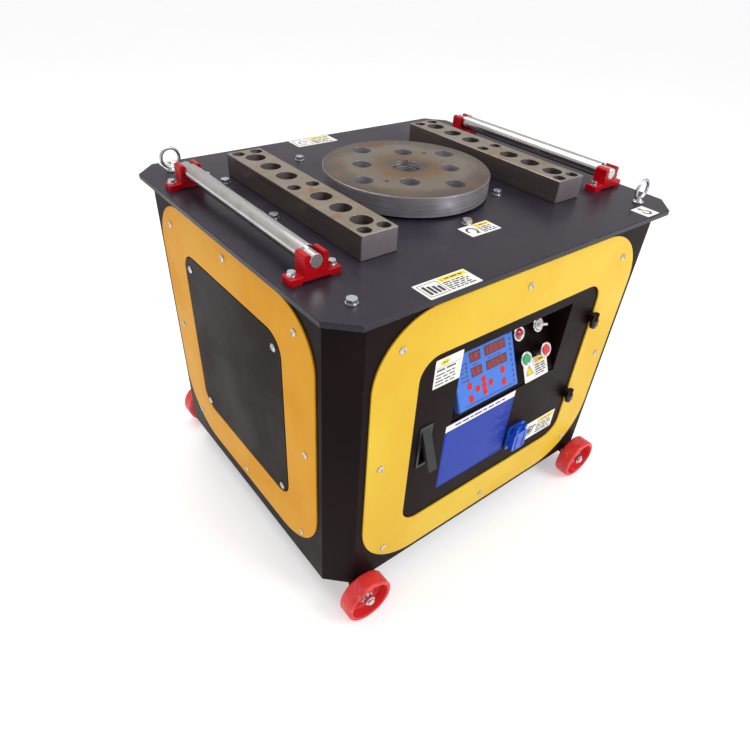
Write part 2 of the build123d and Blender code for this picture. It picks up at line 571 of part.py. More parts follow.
def frame_knuckle(z):
    """Lower half of a lift-off hinge, on the trim ring, with the pin."""
    y = -BODY_Y / 2 - HINGE_OUT
    arm = block(HINGE_X, HINGE_X + 12, y - 4, -BODY_Y / 2 - SHEET, z - 18, z)
    return rod(HINGE_R, z - 18, z, HINGE_X, y) + arm + rod(3, z - 1, z + 16, HINGE_X, y)


def control_door():
    """Door leaf with turned-in edges and a window for the sloping console."""
    leaf = face_plate(**FRONT_HOLE, w0=-SHEET, w1=0, grow=-DOOR_GAP)
    rim = face_plate(**FRONT_HOLE, w0=-DOOR_RETURN, w1=-SHEET, grow=-DOOR_GAP)
    rim = rim - face_plate(**FRONT_HOLE, w0=-DOOR_RETURN - 1, w1=0, grow=-DOOR_GAP - 2.5)
    window = Pos((CUT_X0 + CUT_X1) / 2, (CUT_Z0 + CUT_Z1) / 2, 0) \
        * Box(CUT_X1 - CUT_X0, CUT_Z1 - CUT_Z0, 3 * SHEET)
    lock_hole = Pos(LOCK_X, LOCK_Z, 0) * Box(LOCK_W - 6, LOCK_H - 8, 3 * SHEET)
    socket_hole = Pos(SOCKET_X, SOCKET_Z, 0) * Cylinder(21.2, 3 * SHEET)
    leaf = FRONT * (leaf + rim - [window, lock_hole, socket_hole])
    return leaf + [door_knuckle(z) for z in HINGE_Z]


def console_tray():
    """Wedge-shaped tray behind the window: two cheeks, a ceiling and the sloping face."""
    t = 2.5
    face_y = -BODY_Y / 2
    depth = (CUT_Z1 - CUT_Z0) * tan(radians(SLOPE))
    inner = Polyline((face_y - 9, CUT_Z0 - 9 / tan(radians(SLOPE))), (face_y + depth, CUT_Z1),
                     (face_y - 9, CUT_Z1), close=True)
    run = t / cos(radians(SLOPE))
    outer = Polyline((face_y, CUT_Z0 - run / tan(radians(SLOPE))), (face_y + depth + run, CUT_Z1),
                     (face_y + depth + run, CUT_Z1 + t), (face_y, CUT_Z1 + t), close=True)
    wide = Plane.YZ.offset(CUT_X0 - t) * make_face(outer)
    solid = extrude(wide, CUT_X1 - CUT_X0 + 2 * t)
    hollow = extrude(Plane.YZ.offset(CUT_X0) * make_face(inner), CUT_X1 - CUT_X0)
    solid = solid - hollow
    solid = solid & block(-400, 400, face_y + SHEET, 0, 0, TABLE_TOP)
    holes = [CONSOLE * Pos(x, s, 0) * Cylinder(11.2, 30) for x in BUTTON_X for s in BUTTON_ROW]
    return solid - holes


def controller_box():
    width, length = CONTROLLER_X1 - CONTROLLER_X0, CONTROLLER_S1 - CONTROLLER_S0
    x, s = (CONTROLLER_X0 + CONTROLLER_X1) / 2, (CONTROLLER_S0 + CONTROLLER_S1) / 2
    body = Box(width, length, CONTROLLER_T)
    body = chamfer(body.faces().sort_by(Axis.Z)[-1].edges(), 1.2)
    return CONSOLE * Pos(x, s, CONTROLLER_T / 2 + 0.02) * body


def control_housing(height):
    """Threaded control body: collar on the console, contact block behind."""
    collar = tube(14, 11.4, 0, height - 4) + tube(15.5, 11.4, height - 4, height)
    stem = tube(11, 8, -14, 0.5)
    back = Pos(0, 0, -32) * Box(28, 28, 36)
    floor = rod(11.6, 0, 4)
    return collar + stem + back + floor


def console_controls():
    """Fixed bodies of the lamp, the key selector and the two push buttons."""
    heights = {(0, 0): 24.0, (1, 0): 24.0, (0, 1): 12.0, (1, 1): 11.0}
    bodies = []
    for (i, j), height in heights.items():
        bodies.append(CONSOLE * Pos(BUTTON_X[i], BUTTON_ROW[j], 0) * control_housing(height))
    return bodies


def push_cap(i):
    """Button cap that slides inside its housing."""
    cap = rod(11.1, 24 - 8, 24 + 2.5)
    cap = fillet(cap.edges().sort_by(Axis.Z)[-1], 1.5)
    stem = rod(4, 4 + BUTTON_TRAVEL + 0.5, 17)
    return CONSOLE * Pos(BUTTON_X[i], BUTTON_ROW[0], 0) * (cap + stem)


def lamp_lens():
    lens = rod(11.3, 4, 12) + (Pos(0, 0, 2.5) * Sphere(15) & rod(11.3, 11, 30))
    return CONSOLE * Pos(BUTTON_X[0], BUTTON_ROW[1], 0) * lens


def selector_lever():
    """Key-switch knob with a flat bar set crosswise."""
    knob = rod(11.1, 4.3, 13)
    bar = Pos(6, 0, 16) * Box(26, 5, 8)
    return CONSOLE * Pos(BUTTON_X[1], BUTTON_ROW[1], 0) * Rot(0, 0, -14) * (knob + bar)


def lock_body():
    """Flush lock pan let into the door."""
    flange = Pos(0, 0, 1) * Box(LOCK_W, LOCK_H, 2)
    pan = Pos(0, 0, -9) * Box(LOCK_W - 7, LOCK_H - 9, 20)
    well = Pos(0, 0, -5) * Box(LOCK_W - 10, LOCK_H - 12, 22)
    cam = Pos(-10, 30, -21) * Box(34, 16, 4)
    return FRONT * Pos(LOCK_X, LOCK_Z, 0) * (flange + pan - well + cam)


def lock_handle():
    """Wedge handle, hinged at its top and sprung out at the bottom."""
    w, h = LOCK_W - 11, LOCK_H - 14
    pad = Pos(0, -h / 2, -3) * Box(w, h, 8)
    keel = Pos(0, -h / 2 + 4, -9) * Box(w - 8, h - 24, 6)
    hinge_v = LOCK_Z + LOCK_H / 2 - 7
    return FRONT * Pos(LOCK_X, hinge_v, 0) * Rot(-LOCK_POP, 0, 0) * (pad + keel)


def socket_body():
    """Panel socket for the foot switch with a square flange and a hinge block on top."""
    flange = Pos(0, -2, 2.5) * Box(52, 68, 5)
    flange = fillet(flange.edges().filter_by(Axis.Z), 5)
    barrel = rod(21, -34, 8)
    block_top = Pos(0, 27, 9) * Box(20, 10, 10)
    pins = [rod(6, -25, 9, 10 * sx, -5 + 10 * sy) for sx, sy in ((-1, -1), (1, -1), (0, 1))]
    return FRONT * Pos(SOCKET_X, SOCKET_Z, 0) * (flange + barrel + block_top - pins)


def socket_cap():
    """Spring cap over the socket, hinged along its top edge."""
    cap = Pos(0, -6, 14.5) * Box(44, 54, 12)
    cap = fillet(cap.edges().filter_by(Axis.Z), 8)
    cap = cap - [Pos(s * 12, -8, 21) * Box(5, 44, 4) for s in (-1, 1)]
    ears = [Pos(s * 14, 25, 14) * Box(7, 16, 10) for s in (-1, 1)]
    return FRONT * Pos(SOCKET_X, SOCKET_Z, 0) * (cap + ears)


# ---------------------------------------------------------------- write every piece
keep("table_plate", table_plate())
keep("left_pin_bar", pin_bar(-1))
keep("right_pin_bar", pin_bar(1))
group("pin_bar_screws", bar_screws())
for side, side_name in ((-1, "left"), (1, "right")):
    for y, end_name in zip(BRACKET_Y, ("front", "rear")):
        keep(f"roller_bracket_{side_name}_{end_name}", roller_bracket(side, y))
    keep(f"{side_name}_roller", roller(side))
keep("eyebolt_rear_left", eyebolt(-EYE_X, EYE_Y))
keep("eyebolt_front_right", eyebolt(EYE_X, -EYE_Y))
bolts = [hex_bolt(x, y, TABLE_TOP, 17, 5.6, 10.5, 5, TABLE_T) for x, y in TABLE_BOLTS]
feet = [hex_bolt(ROLLER_X[s] + b * BRACKET_BOLT_X, y, TABLE_TOP + BRACKET_FLANGE_T,
                 13, 4.4, 8, 4, BRACKET_FLANGE_T + TABLE_T)
        for s in (-1, 1) for y in BRACKET_Y for b in (-1, 1)]
group("table_bolts", bolts + feet)

keep("left_side_sheet", side_sheet(-1, LEFT))
keep("right_side_sheet", side_sheet(1, RIGHT))
door_opening = face_plate(**FRONT_HOLE, w0=-9, w1=3)
keep("front_panel", end_panel(FRONT, door_opening))
rear_opening = Pos(0, 386, 0) * Box(400, 320, 20)
rear_cuts = drill(REAR_COVER_SCREWS, SCREW_R + 0.2, -9, 3) + drill([(-180, 225)], 16, -9, 3)
keep("rear_panel", end_panel(REAR, rear_opening) - [REAR * c for c in rear_cuts])
keep("front_trim_ring", trim_ring(FRONT, FRONT_RING, FRONT_HOLE, FRONT_SCREWS))
group("side_and_rear_trim_rings", [trim_ring(LEFT, SIDE_RING, SIDE_HOLE, SIDE_SCREWS),
                                   trim_ring(RIGHT, SIDE_RING, SIDE_HOLE, SIDE_SCREWS),
                                   trim_ring(REAR, FRONT_RING, FRONT_HOLE, FRONT_SCREWS)])
keep("left_cover", cover_plate(LEFT, SIDE_HOLE, SIDE_COVER_SCREWS))
keep("right_cover", cover_plate(RIGHT, SIDE_HOLE, SIDE_COVER_SCREWS))
keep("rear_cover", cover_plate(REAR, FRONT_HOLE, REAR_COVER_SCREWS, louvres=True))
group("panel_screws", panel_screws())
keep("base_pan", base_pan())
for sx, x_name in ((-1, "left"), (1, "right")):
    for sy, y_name in ((-1, "front"), (1, "rear")):
        keep(f"wheel_{y_name}_{x_name}", wheel(sx, sy))
group("wheel_axles", wheel_axles())

keep("bending_disc", bending_disc())
keep("main_shaft", main_shaft())
gear_train()
keep("input_pulley", v_pulley(PULLEY_BIG_R, IN_R, IN_X, IN_Y))
keep("motor_pulley", v_pulley(PULLEY_SMALL_R, ROTOR_R, MOTOR_X, MOTOR_Y))
group("drive_belts", drive_belts())
keep("gearbox_housing", gearbox_housing())
keep("gearbox_cover", gearbox_cover())
group("ball_bearings", ball_bearings())
group("motor_housing", [motor_housing()] + end_shields())
keep("stator_core", tube(78, 49, 240, 410, MOTOR_X, MOTOR_Y))
keep("rotor_shaft", rotor_shaft())
keep("motor_stand", motor_stand())
group("electrical_panel", [electrical_panel()] + switchgear())
keep("cable_gland", cable_gland())

keep("control_door", control_door())
keep("console_tray", console_tray())
keep("controller_box", controller_box())
group("console_controls", console_controls())
keep("start_button", push_cap(0))
keep("stop_button", push_cap(1))
keep("indicator_lens", lamp_lens())
keep("selector_lever", selector_lever())
keep("door_lock", lock_body())
keep("lock_handle", lock_handle())
keep("socket_body", socket_body())
keep("socket_cap", socket_cap())
group("frame_knuckles", [frame_knuckle(z) for z in HINGE_Z])
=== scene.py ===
"""Looks of the rebar bender: a finish for every part of the frame, and its labels, keys and bezels."""

import math
import random

import bmesh
import bpy
from mathutils import Matrix, Vector


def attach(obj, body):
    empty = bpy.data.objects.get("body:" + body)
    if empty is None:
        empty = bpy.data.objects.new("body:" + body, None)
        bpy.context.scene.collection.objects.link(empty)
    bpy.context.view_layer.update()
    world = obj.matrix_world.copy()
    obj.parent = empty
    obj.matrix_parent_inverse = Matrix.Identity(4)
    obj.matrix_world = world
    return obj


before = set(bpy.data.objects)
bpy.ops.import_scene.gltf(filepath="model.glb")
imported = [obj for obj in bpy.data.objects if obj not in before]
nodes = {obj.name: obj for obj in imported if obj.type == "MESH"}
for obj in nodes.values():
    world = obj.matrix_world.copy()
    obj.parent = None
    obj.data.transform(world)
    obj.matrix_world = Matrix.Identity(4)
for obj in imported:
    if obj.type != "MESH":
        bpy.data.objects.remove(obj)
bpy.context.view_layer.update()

MM = 0.001
TABLE_TOP = 756 * MM
CHASSIS_FOOT = 21 * MM
DOOR_FACE = -365 * MM
SLOPE = math.radians(23)
SLOPE_FOOT = 426 * MM
DIRECTION = {"X": 0, "Y": 1, "Z": 2}
LATHE_PITCH = 1.3 * MM
ZONE_REACH = 200 * MM
ZONE_DRIFT = 18 * MM
SIDE_METAL, TOP_METAL = 0.45, 0.85
FLOOR_REACH, FLOOR_THICK, FLOOR_CORNER = 60000, 20, 400


# ---------------------------------------------------------------- node helpers


def srgb(red, green, blue):
    """A colour given as 0 to 255 display values, as the linear colour that a shader takes."""
    def linear(level):
        level /= 255
        return level / 12.92 if level <= 0.04045 else ((level + 0.055) / 1.055) ** 2.4
    return linear(red), linear(green), linear(blue), 1.0


def put(tree, kind, feeds=None, **settings):
    """Adds a node. feeds holds a value, or the socket that feeds it, for each named input."""
    node = tree.nodes.new(kind)
    for key, value in settings.items():
        setattr(node, key, value)
    for key, value in (feeds or {}).items():
        socket = node.inputs[key]
        if isinstance(value, bpy.types.NodeSocket):
            tree.links.new(value, socket)
        else:
            socket.default_value = value
    return node


def calc(tree, operation, first, second=0.0, clamp=False):
    node = put(tree, "ShaderNodeMath", {0: first, 1: second}, operation=operation, use_clamp=clamp)
    return node.outputs[0]


def blend(tree, mask, under, over):
    """The colour under, covered by the colour over where mask is 1."""
    node = put(tree, "ShaderNodeMix", {0: mask}, data_type="RGBA")
    for index, value in ((6, under), (7, over)):
        if isinstance(value, bpy.types.NodeSocket):
            tree.links.new(value, node.inputs[index])
        else:
            node.inputs[index].default_value = value
    return node.outputs[2]


def between(tree, mask, low, high):
    """A number that goes from low to high with mask."""
    return put(tree, "ShaderNodeMapRange", {"Value": mask, "To Min": low, "To Max": high}).outputs[0]


def blend_number(tree, mask, under, over):
    return put(tree, "ShaderNodeMix", {0: mask, 2: under, 3: over}, data_type="FLOAT").outputs[0]


def new_group(name, inputs, outputs):
    tree = bpy.data.node_groups.new(name, "ShaderNodeTree")
    for label, kind, value in inputs:
        socket = tree.interface.new_socket(label, in_out="INPUT", socket_type="NodeSocket" + kind)
        if value is not None:
            socket.default_value = value
    for label, kind in outputs:
        tree.interface.new_socket(label, in_out="OUTPUT", socket_type="NodeSocket" + kind)
    return tree, put(tree, "NodeGroupInput").outputs, put(tree, "NodeGroupOutput").inputs


def use(tree, shared, feeds=None):
    node = put(tree, "ShaderNodeGroup", node_tree=shared)
    for key, value in (feeds or {}).items():
        if isinstance(value, bpy.types.NodeSocket):
            tree.links.new(value, node.inputs[key])
        else:
            node.inputs[key].default_value = value
    return node.outputs


# ---------------------------------------------------------------- shared effects


def make_cloud():
    """Soft patches, such as uneven gloss, stains or fine specks."""
    tree, given, result = new_group(
        "cloud",
        [("Vector", "Vector", None), ("Scale", "Float", 10.0), ("Detail", "Float", 4.0),
         ("Low", "Float", 0.4), ("High", "Float", 0.6)],
        [("Mask", "Float")])
    noise = put(tree, "ShaderNodeTexNoise", {
        "Vector": given["Vector"], "Scale": given["Scale"], "Detail": given["Detail"], "Roughness": 0.6})
    level = put(tree, "ShaderNodeMapRange", {
        "Value": noise.outputs["Fac"], "From Min": given["Low"], "From Max": given["High"]},
        interpolation_type="SMOOTHSTEP")
    tree.links.new(level.outputs[0], result["Mask"])
    return tree


def make_drawn_lines():
    """Noise pulled out along one axis: brushed, milled or rolled marks."""
    tree, given, result = new_group(
        "drawn_lines",
        [("Vector", "Vector", None), ("Stretch", "Vector", (1.0, 1.0, 1.0)),
         ("Low", "Float", 0.35), ("High", "Float", 0.65)],
        [("Mask", "Float")])
    pulled = put(tree, "ShaderNodeVectorMath", {
        0: given["Vector"], 1: given["Stretch"]}, operation="MULTIPLY")
    noise = put(tree, "ShaderNodeTexNoise", {
        "Vector": pulled.outputs[0], "Scale": 1.0, "Detail": 3.0, "Roughness": 0.65})
    level = put(tree, "ShaderNodeMapRange", {
        "Value": noise.outputs["Fac"], "From Min": given["Low"], "From Max": given["High"]})
    tree.links.new(level.outputs[0], result["Mask"])
    return tree


def make_turned_rings():
    """Lathe marks: fine rings of uneven depth round the middle of the disc."""
    tree, given, result = new_group(
        "turned_rings",
        [("Vector", "Vector", None), ("Pitch", "Float", 0.0012)],
        [("Height", "Float"), ("Radius", "Float")])
    flat = put(tree, "ShaderNodeVectorMath", {0: given["Vector"], 1: (1.0, 1.0, 0.0)}, operation="MULTIPLY")
    radius = put(tree, "ShaderNodeVectorMath", {0: flat.outputs[0]}, operation="LENGTH").outputs["Value"]
    steps = calc(tree, "DIVIDE", radius, given["Pitch"])
    groove = calc(tree, "SINE", calc(tree, "MULTIPLY", steps, math.tau))
    along = put(tree, "ShaderNodeCombineXYZ", {"X": steps})
    uneven = put(tree, "ShaderNodeTexNoise", {"Vector": along.outputs[0], "Scale": 0.9, "Detail": 3.0})
    total = calc(tree, "ADD", calc(tree, "MULTIPLY", groove, 0.25), uneven.outputs["Fac"])
    tree.links.new(total, result["Height"])
    tree.links.new(radius, result["Radius"])
    return tree


def make_worn_edges():
    """Where a corner is rubbed through, and the normal of the corner's small radius."""
    tree, given, result = new_group(
        "worn_edges",
        [("Vector", "Vector", None), ("Radius", "Float", 0.001), ("Patch", "Float", 60.0),
         ("Rubbed", "Float", 0.5)],
        [("Mask", "Float"), ("Normal", "Vector")])
    rounded = put(tree, "ShaderNodeBevel", {"Radius": given["Radius"]}, samples=4)
    surface = put(tree, "ShaderNodeNewGeometry")
    facing = put(tree, "ShaderNodeVectorMath", {
        0: rounded.outputs[0], 1: surface.outputs["Normal"]}, operation="DOT_PRODUCT")
    corner = put(tree, "ShaderNodeMapRange", {
        "Value": facing.outputs["Value"], "From Min": 0.995, "From Max": 0.85})
    patchy = put(tree, "ShaderNodeTexNoise", {
        "Vector": given["Vector"], "Scale": given["Patch"], "Detail": 5.0, "Roughness": 0.7})
    limit = calc(tree, "SUBTRACT", 1.0, given["Rubbed"])
    rubbed = calc(tree, "MULTIPLY", calc(tree, "SUBTRACT", patchy.outputs["Fac"], limit), 9.0, clamp=True)
    tree.links.new(calc(tree, "MULTIPLY", corner.outputs[0], rubbed), result["Mask"])
    tree.links.new(rounded.outputs[0], result["Normal"])
    return tree


def make_skin():
    """Height of a sprayed or moulded skin: a fine ripple with grains on it."""
    tree, given, result = new_group(
        "skin",
        [("Vector", "Vector", None), ("Ripple", "Float", 500.0), ("Grain", "Float", 2500.0)],
        [("Height", "Float")])
    ripple = put(tree, "ShaderNodeTexNoise", {
        "Vector": given["Vector"], "Scale": given["Ripple"], "Detail": 2.0})
    grain = put(tree, "ShaderNodeTexNoise", {
        "Vector": given["Vector"], "Scale": given["Grain"], "Detail": 2.0})
    total = calc(tree, "ADD", ripple.outputs["Fac"], calc(tree, "MULTIPLY", grain.outputs["Fac"], 0.35))
    tree.links.new(total, result["Height"])
    return tree


def make_scratches():
    """Thin crossing hair scratches."""
    tree, given, result = new_group(
        "scratches",
        [("Vector", "Vector", None), ("Scale", "Float", 40.0), ("Share", "Float", 0.5)],
        [("Mask", "Float")])
    total = None
    for turn, stretch in ((0.5, (1.0, 0.06, 1.0)), (-0.9, (0.05, 1.0, 0.4)), (2.1, (1.0, 0.08, 0.3))):
        turned = put(tree, "ShaderNodeVectorRotate", {
            "Vector": given["Vector"], "Angle": turn}, rotation_type="Z_AXIS")
        pulled = put(tree, "ShaderNodeVectorMath", {0: turned.outputs[0], 1: stretch}, operation="MULTIPLY")
        cells = put(tree, "ShaderNodeTexVoronoi", {
            "Vector": pulled.outputs[0], "Scale": given["Scale"]}, feature="DISTANCE_TO_EDGE")
        thin = put(tree, "ShaderNodeMapRange", {
            "Value": cells.outputs["Distance"], "From Min": 0.012, "From Max": 0.0})
        total = thin.outputs[0] if total is None else calc(tree, "MAXIMUM", total, thin.outputs[0])
    patchy = put(tree, "ShaderNodeTexNoise", {"Vector": given["Vector"], "Scale": 14.0, "Detail": 2.0})
    limit = calc(tree, "SUBTRACT", 1.0, given["Share"])
    kept = calc(tree, "MULTIPLY", calc(tree, "SUBTRACT", patchy.outputs["Fac"], limit), 5.0, clamp=True)
    tree.links.new(calc(tree, "MULTIPLY", total, kept), result["Mask"])
    return tree


def make_settled_dust():
    """Dust that lies on faces that look up."""
    tree, given, result = new_group(
        "settled_dust",
        [("Vector", "Vector", None), ("Amount", "Float", 0.3)],
        [("Mask", "Float")])
    surface = put(tree, "ShaderNodeNewGeometry")
    upward = put(tree, "ShaderNodeSeparateXYZ", {0: surface.outputs["Normal"]})
    flat = put(tree, "ShaderNodeMapRange", {"Value": upward.outputs["Z"], "From Min": 0.6, "From Max": 0.98})
    drift = put(tree, "ShaderNodeTexNoise", {"Vector": given["Vector"], "Scale": 9.0, "Detail": 6.0})
    specks = put(tree, "ShaderNodeTexNoise", {"Vector": given["Vector"], "Scale": 620.0, "Detail": 2.0})
    grains = put(tree, "ShaderNodeMapRange", {
        "Value": specks.outputs["Fac"], "From Min": 0.66, "From Max": 0.75})
    film = calc(tree, "ADD", calc(tree, "MULTIPLY", drift.outputs["Fac"], 0.35), grains.outputs[0])
    total = calc(tree, "MULTIPLY", calc(tree, "MULTIPLY", film, flat.outputs[0]), given["Amount"], clamp=True)
    tree.links.new(total, result["Mask"])
    return tree


CLOUD = make_cloud()
DRAWN_LINES = make_drawn_lines()
TURNED_RINGS = make_turned_rings()
WORN_EDGES = make_worn_edges()
SKIN = make_skin()
SCRATCHES = make_scratches()
SETTLED_DUST = make_settled_dust()


# ---------------------------------------------------------------- finishes


def new_finish(name):
    finish = bpy.data.materials.new(name)
    finish.use_nodes = True
    tree = finish.node_tree
    tree.nodes.clear()
    return finish, tree, put(tree, "ShaderNodeTexCoord").outputs["Object"]


def patches(tree, place, scale, detail, low, high):
    """Mask of soft patches: scale is how many lie in a metre."""
    return use(tree, CLOUD, {
        "Vector": place, "Scale": scale, "Detail": detail, "Low": low, "High": high})["Mask"]


def finish_off(tree, colour, roughness, normal=None, **settings):
    """The surface shader, with even values set straight on its sockets."""
    feeds = {"Base Color": colour, "Roughness": roughness}
    if normal is not None:
        feeds["Normal"] = normal
    feeds.update({key.replace("_", " "): value for key, value in settings.items()})
    surface = put(tree, "ShaderNodeBsdfPrincipled", feeds)
    put(tree, "ShaderNodeOutputMaterial", {"Surface": surface.outputs[0]})
    return surface


def raised(tree, height, strength, distance, normal=None):
    feeds = {"Height": height, "Strength": strength, "Distance": distance}
    if normal is not None:
        feeds["Normal"] = normal
    return put(tree, "ShaderNodeBump", feeds).outputs[0]


def sprayed_paint(name, colour, tint, bare, gloss, rubbed=0.45, dust=0.25, sheen_level=0.5, corner=0.0012,
                  scratch=0.4, scratch_tone=None):
    """Sprayed paint over steel: orange peel, uneven gloss, rubbed corners, hair scratches and dust."""
    finish, tree, place = new_finish(name)
    edge = use(tree, WORN_EDGES, {"Vector": place, "Radius": corner, "Rubbed": rubbed})
    wide = patches(tree, place, 5.0, 6.0, 0.35, 0.7)
    hair = use(tree, SCRATCHES, {"Vector": place, "Scale": 22.0, "Share": scratch})["Mask"]
    dirt = use(tree, SETTLED_DUST, {"Vector": place, "Amount": dust})["Mask"]
    shade = blend(tree, wide, colour, tint)
    shade = blend(tree, calc(tree, "MULTIPLY", hair, 0.35), shade, scratch_tone or tint)
    shade = blend(tree, dirt, shade, srgb(150, 140, 128))
    shade = blend(tree, edge["Mask"], shade, bare)
    rough = between(tree, wide, gloss - 0.06, gloss + 0.08)
    rough = calc(tree, "ADD", rough, calc(tree, "MULTIPLY", dirt, 0.35), clamp=True)
    height = use(tree, SKIN, {"Vector": place, "Ripple": 420.0, "Grain": 2400.0})["Height"]
    height = calc(tree, "SUBTRACT", height, calc(tree, "MULTIPLY", hair, 0.5))
    finish_off(tree, shade, rough, raised(tree, height, 0.22, 0.00012, edge["Normal"]),
               Specular_IOR_Level=sheen_level)
    return finish


def top_of_disc(tree, place, film, tone):
    """Top of the disc: a dark oily rim, a bright band worn by bars, and rust round the middle."""
    rings = use(tree, TURNED_RINGS, {"Vector": place, "Pitch": LATHE_PITCH})
    drift = patches(tree, place, 9.0, 5.0, 0.2, 0.8)
    reach = calc(tree, "ADD", rings["Radius"], between(tree, drift, -ZONE_DRIFT, ZONE_DRIFT))
    zones = put(tree, "ShaderNodeValToRGB", {"Fac": calc(tree, "DIVIDE", reach, ZONE_REACH)})
    zones.color_ramp.interpolation = "EASE"
    marks = [(0.12, srgb(74, 64, 52)), (0.26, srgb(132, 98, 62)), (0.42, srgb(140, 124, 104)),
             (0.6, srgb(146, 132, 114)), (0.76, srgb(104, 88, 70)), (0.9, srgb(88, 74, 58))]
    points = zones.color_ramp.elements
    points[0].position, points[0].color = marks[0]
    points[1].position, points[1].color = marks[-1]
    for position, colour in marks[1:-1]:
        points.new(position).color = colour
    shade = blend(tree, calc(tree, "MULTIPLY", film, 0.35), zones.outputs[0], tone)
    groove = calc(tree, "MULTIPLY", rings["Height"], 0.42, clamp=True)
    return blend(tree, groove, shade, srgb(70, 62, 50)), rings["Height"]


def oiled_steel(name, cuts, top_tone, side_tone, side_cut, end_tone, stain_spread, rings=False):
    """Machined steel under old oil: tan film and rust stains on top, and cut sides and ends."""
    finish, tree, place = new_finish(name)
    edge = use(tree, WORN_EDGES, {"Vector": place, "Radius": 0.0009, "Patch": 30.0, "Rubbed": 0.85})
    surface = put(tree, "ShaderNodeNewGeometry")
    facing = put(tree, "ShaderNodeSeparateXYZ", {0: surface.outputs["True Normal"]}).outputs
    top = put(tree, "ShaderNodeMapRange", {"Value": facing["Z"], "From Min": 0.5, "From Max": 0.9}).outputs[0]
    end = put(tree, "ShaderNodeMapRange", {
        "Value": calc(tree, "ABSOLUTE", facing["Y"]), "From Min": 0.6, "From Max": 0.9}).outputs[0]
    cut = use(tree, DRAWN_LINES, {"Vector": place, "Stretch": cuts})["Mask"]
    film = patches(tree, place, 13.0, 7.0, 0.36, 0.66)
    rust = patches(tree, place, 24.0, 9.0, stain_spread, stain_spread + 0.16)
    pits = patches(tree, place, 260.0, 4.0, 0.55, 0.8)
    height = cut
    if rings:
        tan, grooves = top_of_disc(tree, place, film, top_tone)
        height = blend_number(tree, top, cut, grooves)
    else:
        tan = blend(tree, film, top_tone, srgb(150, 134, 106))
    tan = blend(tree, calc(tree, "MULTIPLY", rust, 0.7), tan, srgb(112, 70, 36))
    tan = blend(tree, calc(tree, "MULTIPLY", pits, 0.35), tan, srgb(70, 56, 44))
    sides = blend(tree, cut, side_tone, side_cut)
    if not rings:
        sides = blend(tree, end, sides, end_tone)
    sides = blend(tree, calc(tree, "MULTIPLY", film, 0.3), sides, srgb(104, 90, 76))
    shade = blend(tree, top, sides, tan)
    shade = blend(tree, calc(tree, "MULTIPLY", edge["Mask"], 0.6), shade, srgb(206, 204, 200))
    rough = between(tree, cut, 0.26, 0.38)
    rusty = calc(tree, "MULTIPLY", rust, top)
    rough = calc(tree, "ADD", rough, calc(tree, "MULTIPLY", rusty, 0.3), clamp=True)
    metal = between(tree, top, SIDE_METAL, TOP_METAL)
    metal = calc(tree, "SUBTRACT", metal, calc(tree, "MULTIPLY", rusty, 0.5), clamp=True)
    finish_off(tree, shade, rough, raised(tree, height, 0.3, 0.00006, edge["Normal"]), Metallic=metal)
    return finish


def ground_steel(name, axis, tone, dark, low=0.12, high=0.28, coarse=600.0):
    """Ground or plated bright steel with fine marks along one axis and faint smears."""
    finish, tree, place = new_finish(name)
    stretch = [coarse, coarse, coarse]
    stretch[DIRECTION[axis]] = coarse / 60
    cut = use(tree, DRAWN_LINES, {"Vector": place, "Stretch": stretch})["Mask"]
    smear = patches(tree, place, 26.0, 6.0, 0.4, 0.72)
    spots = patches(tree, place, 340.0, 3.0, 0.66, 0.76)
    shade = blend(tree, calc(tree, "MULTIPLY", smear, 0.7), tone, dark)
    shade = blend(tree, calc(tree, "MULTIPLY", spots, 0.5), shade, srgb(112, 84, 60))
    rough = calc(tree, "ADD", between(tree, cut, low, high), calc(tree, "MULTIPLY", smear, 0.12), clamp=True)
    edge = use(tree, WORN_EDGES, {"Vector": place, "Radius": 0.0005, "Rubbed": 0.9})
    finish_off(tree, shade, rough, raised(tree, cut, 0.18, 0.00004, edge["Normal"]), Metallic=1.0)
    return finish


def cast_paint(name, colour, tint, gloss=0.5):
    """Thick paint over rough castings."""
    finish, tree, place = new_finish(name)
    edge = use(tree, WORN_EDGES, {"Vector": place, "Radius": 0.0015, "Rubbed": 0.5})
    wide = patches(tree, place, 16.0, 6.0, 0.35, 0.7)
    shade = blend(tree, wide, colour, tint)
    shade = blend(tree, edge["Mask"], shade, srgb(120, 118, 115))
    height = use(tree, SKIN, {"Vector": place, "Ripple": 260.0, "Grain": 1100.0})["Height"]
    finish_off(tree, shade, between(tree, wide, gloss - 0.08, gloss + 0.1),
               raised(tree, height, 0.5, 0.0004, edge["Normal"]))
    return finish


def moulded(name, colour, tint, gloss, grain=1800.0, strength=0.15, coat=0.0, scuff=None, corner=0.0006):
    """Moulded plastic or rubber with a fine grained skin and scuffed patches."""
    finish, tree, place = new_finish(name)
    edge = use(tree, WORN_EDGES, {"Vector": place, "Radius": corner, "Rubbed": 0.4})
    wide = patches(tree, place, 30.0, 5.0, 0.38, 0.68)
    shade = blend(tree, wide, colour, tint)
    if scuff is not None:
        rub = patches(tree, place, 55.0, 8.0, 0.54, 0.7)
        hair = use(tree, SCRATCHES, {"Vector": place, "Scale": 60.0, "Share": 0.55})["Mask"]
        rub = calc(tree, "MAXIMUM", calc(tree, "MULTIPLY", rub, 0.4), calc(tree, "MULTIPLY", hair, 0.6))
        shade = blend(tree, rub, shade, scuff)
    rough = between(tree, wide, gloss - 0.05, gloss + 0.08)
    height = use(tree, SKIN, {"Vector": place, "Ripple": grain / 5, "Grain": grain})["Height"]
    finish_off(tree, shade, rough, raised(tree, height, strength, 0.0001, edge["Normal"]),
               Coat_Weight=coat, Coat_Roughness=0.08)
    return finish


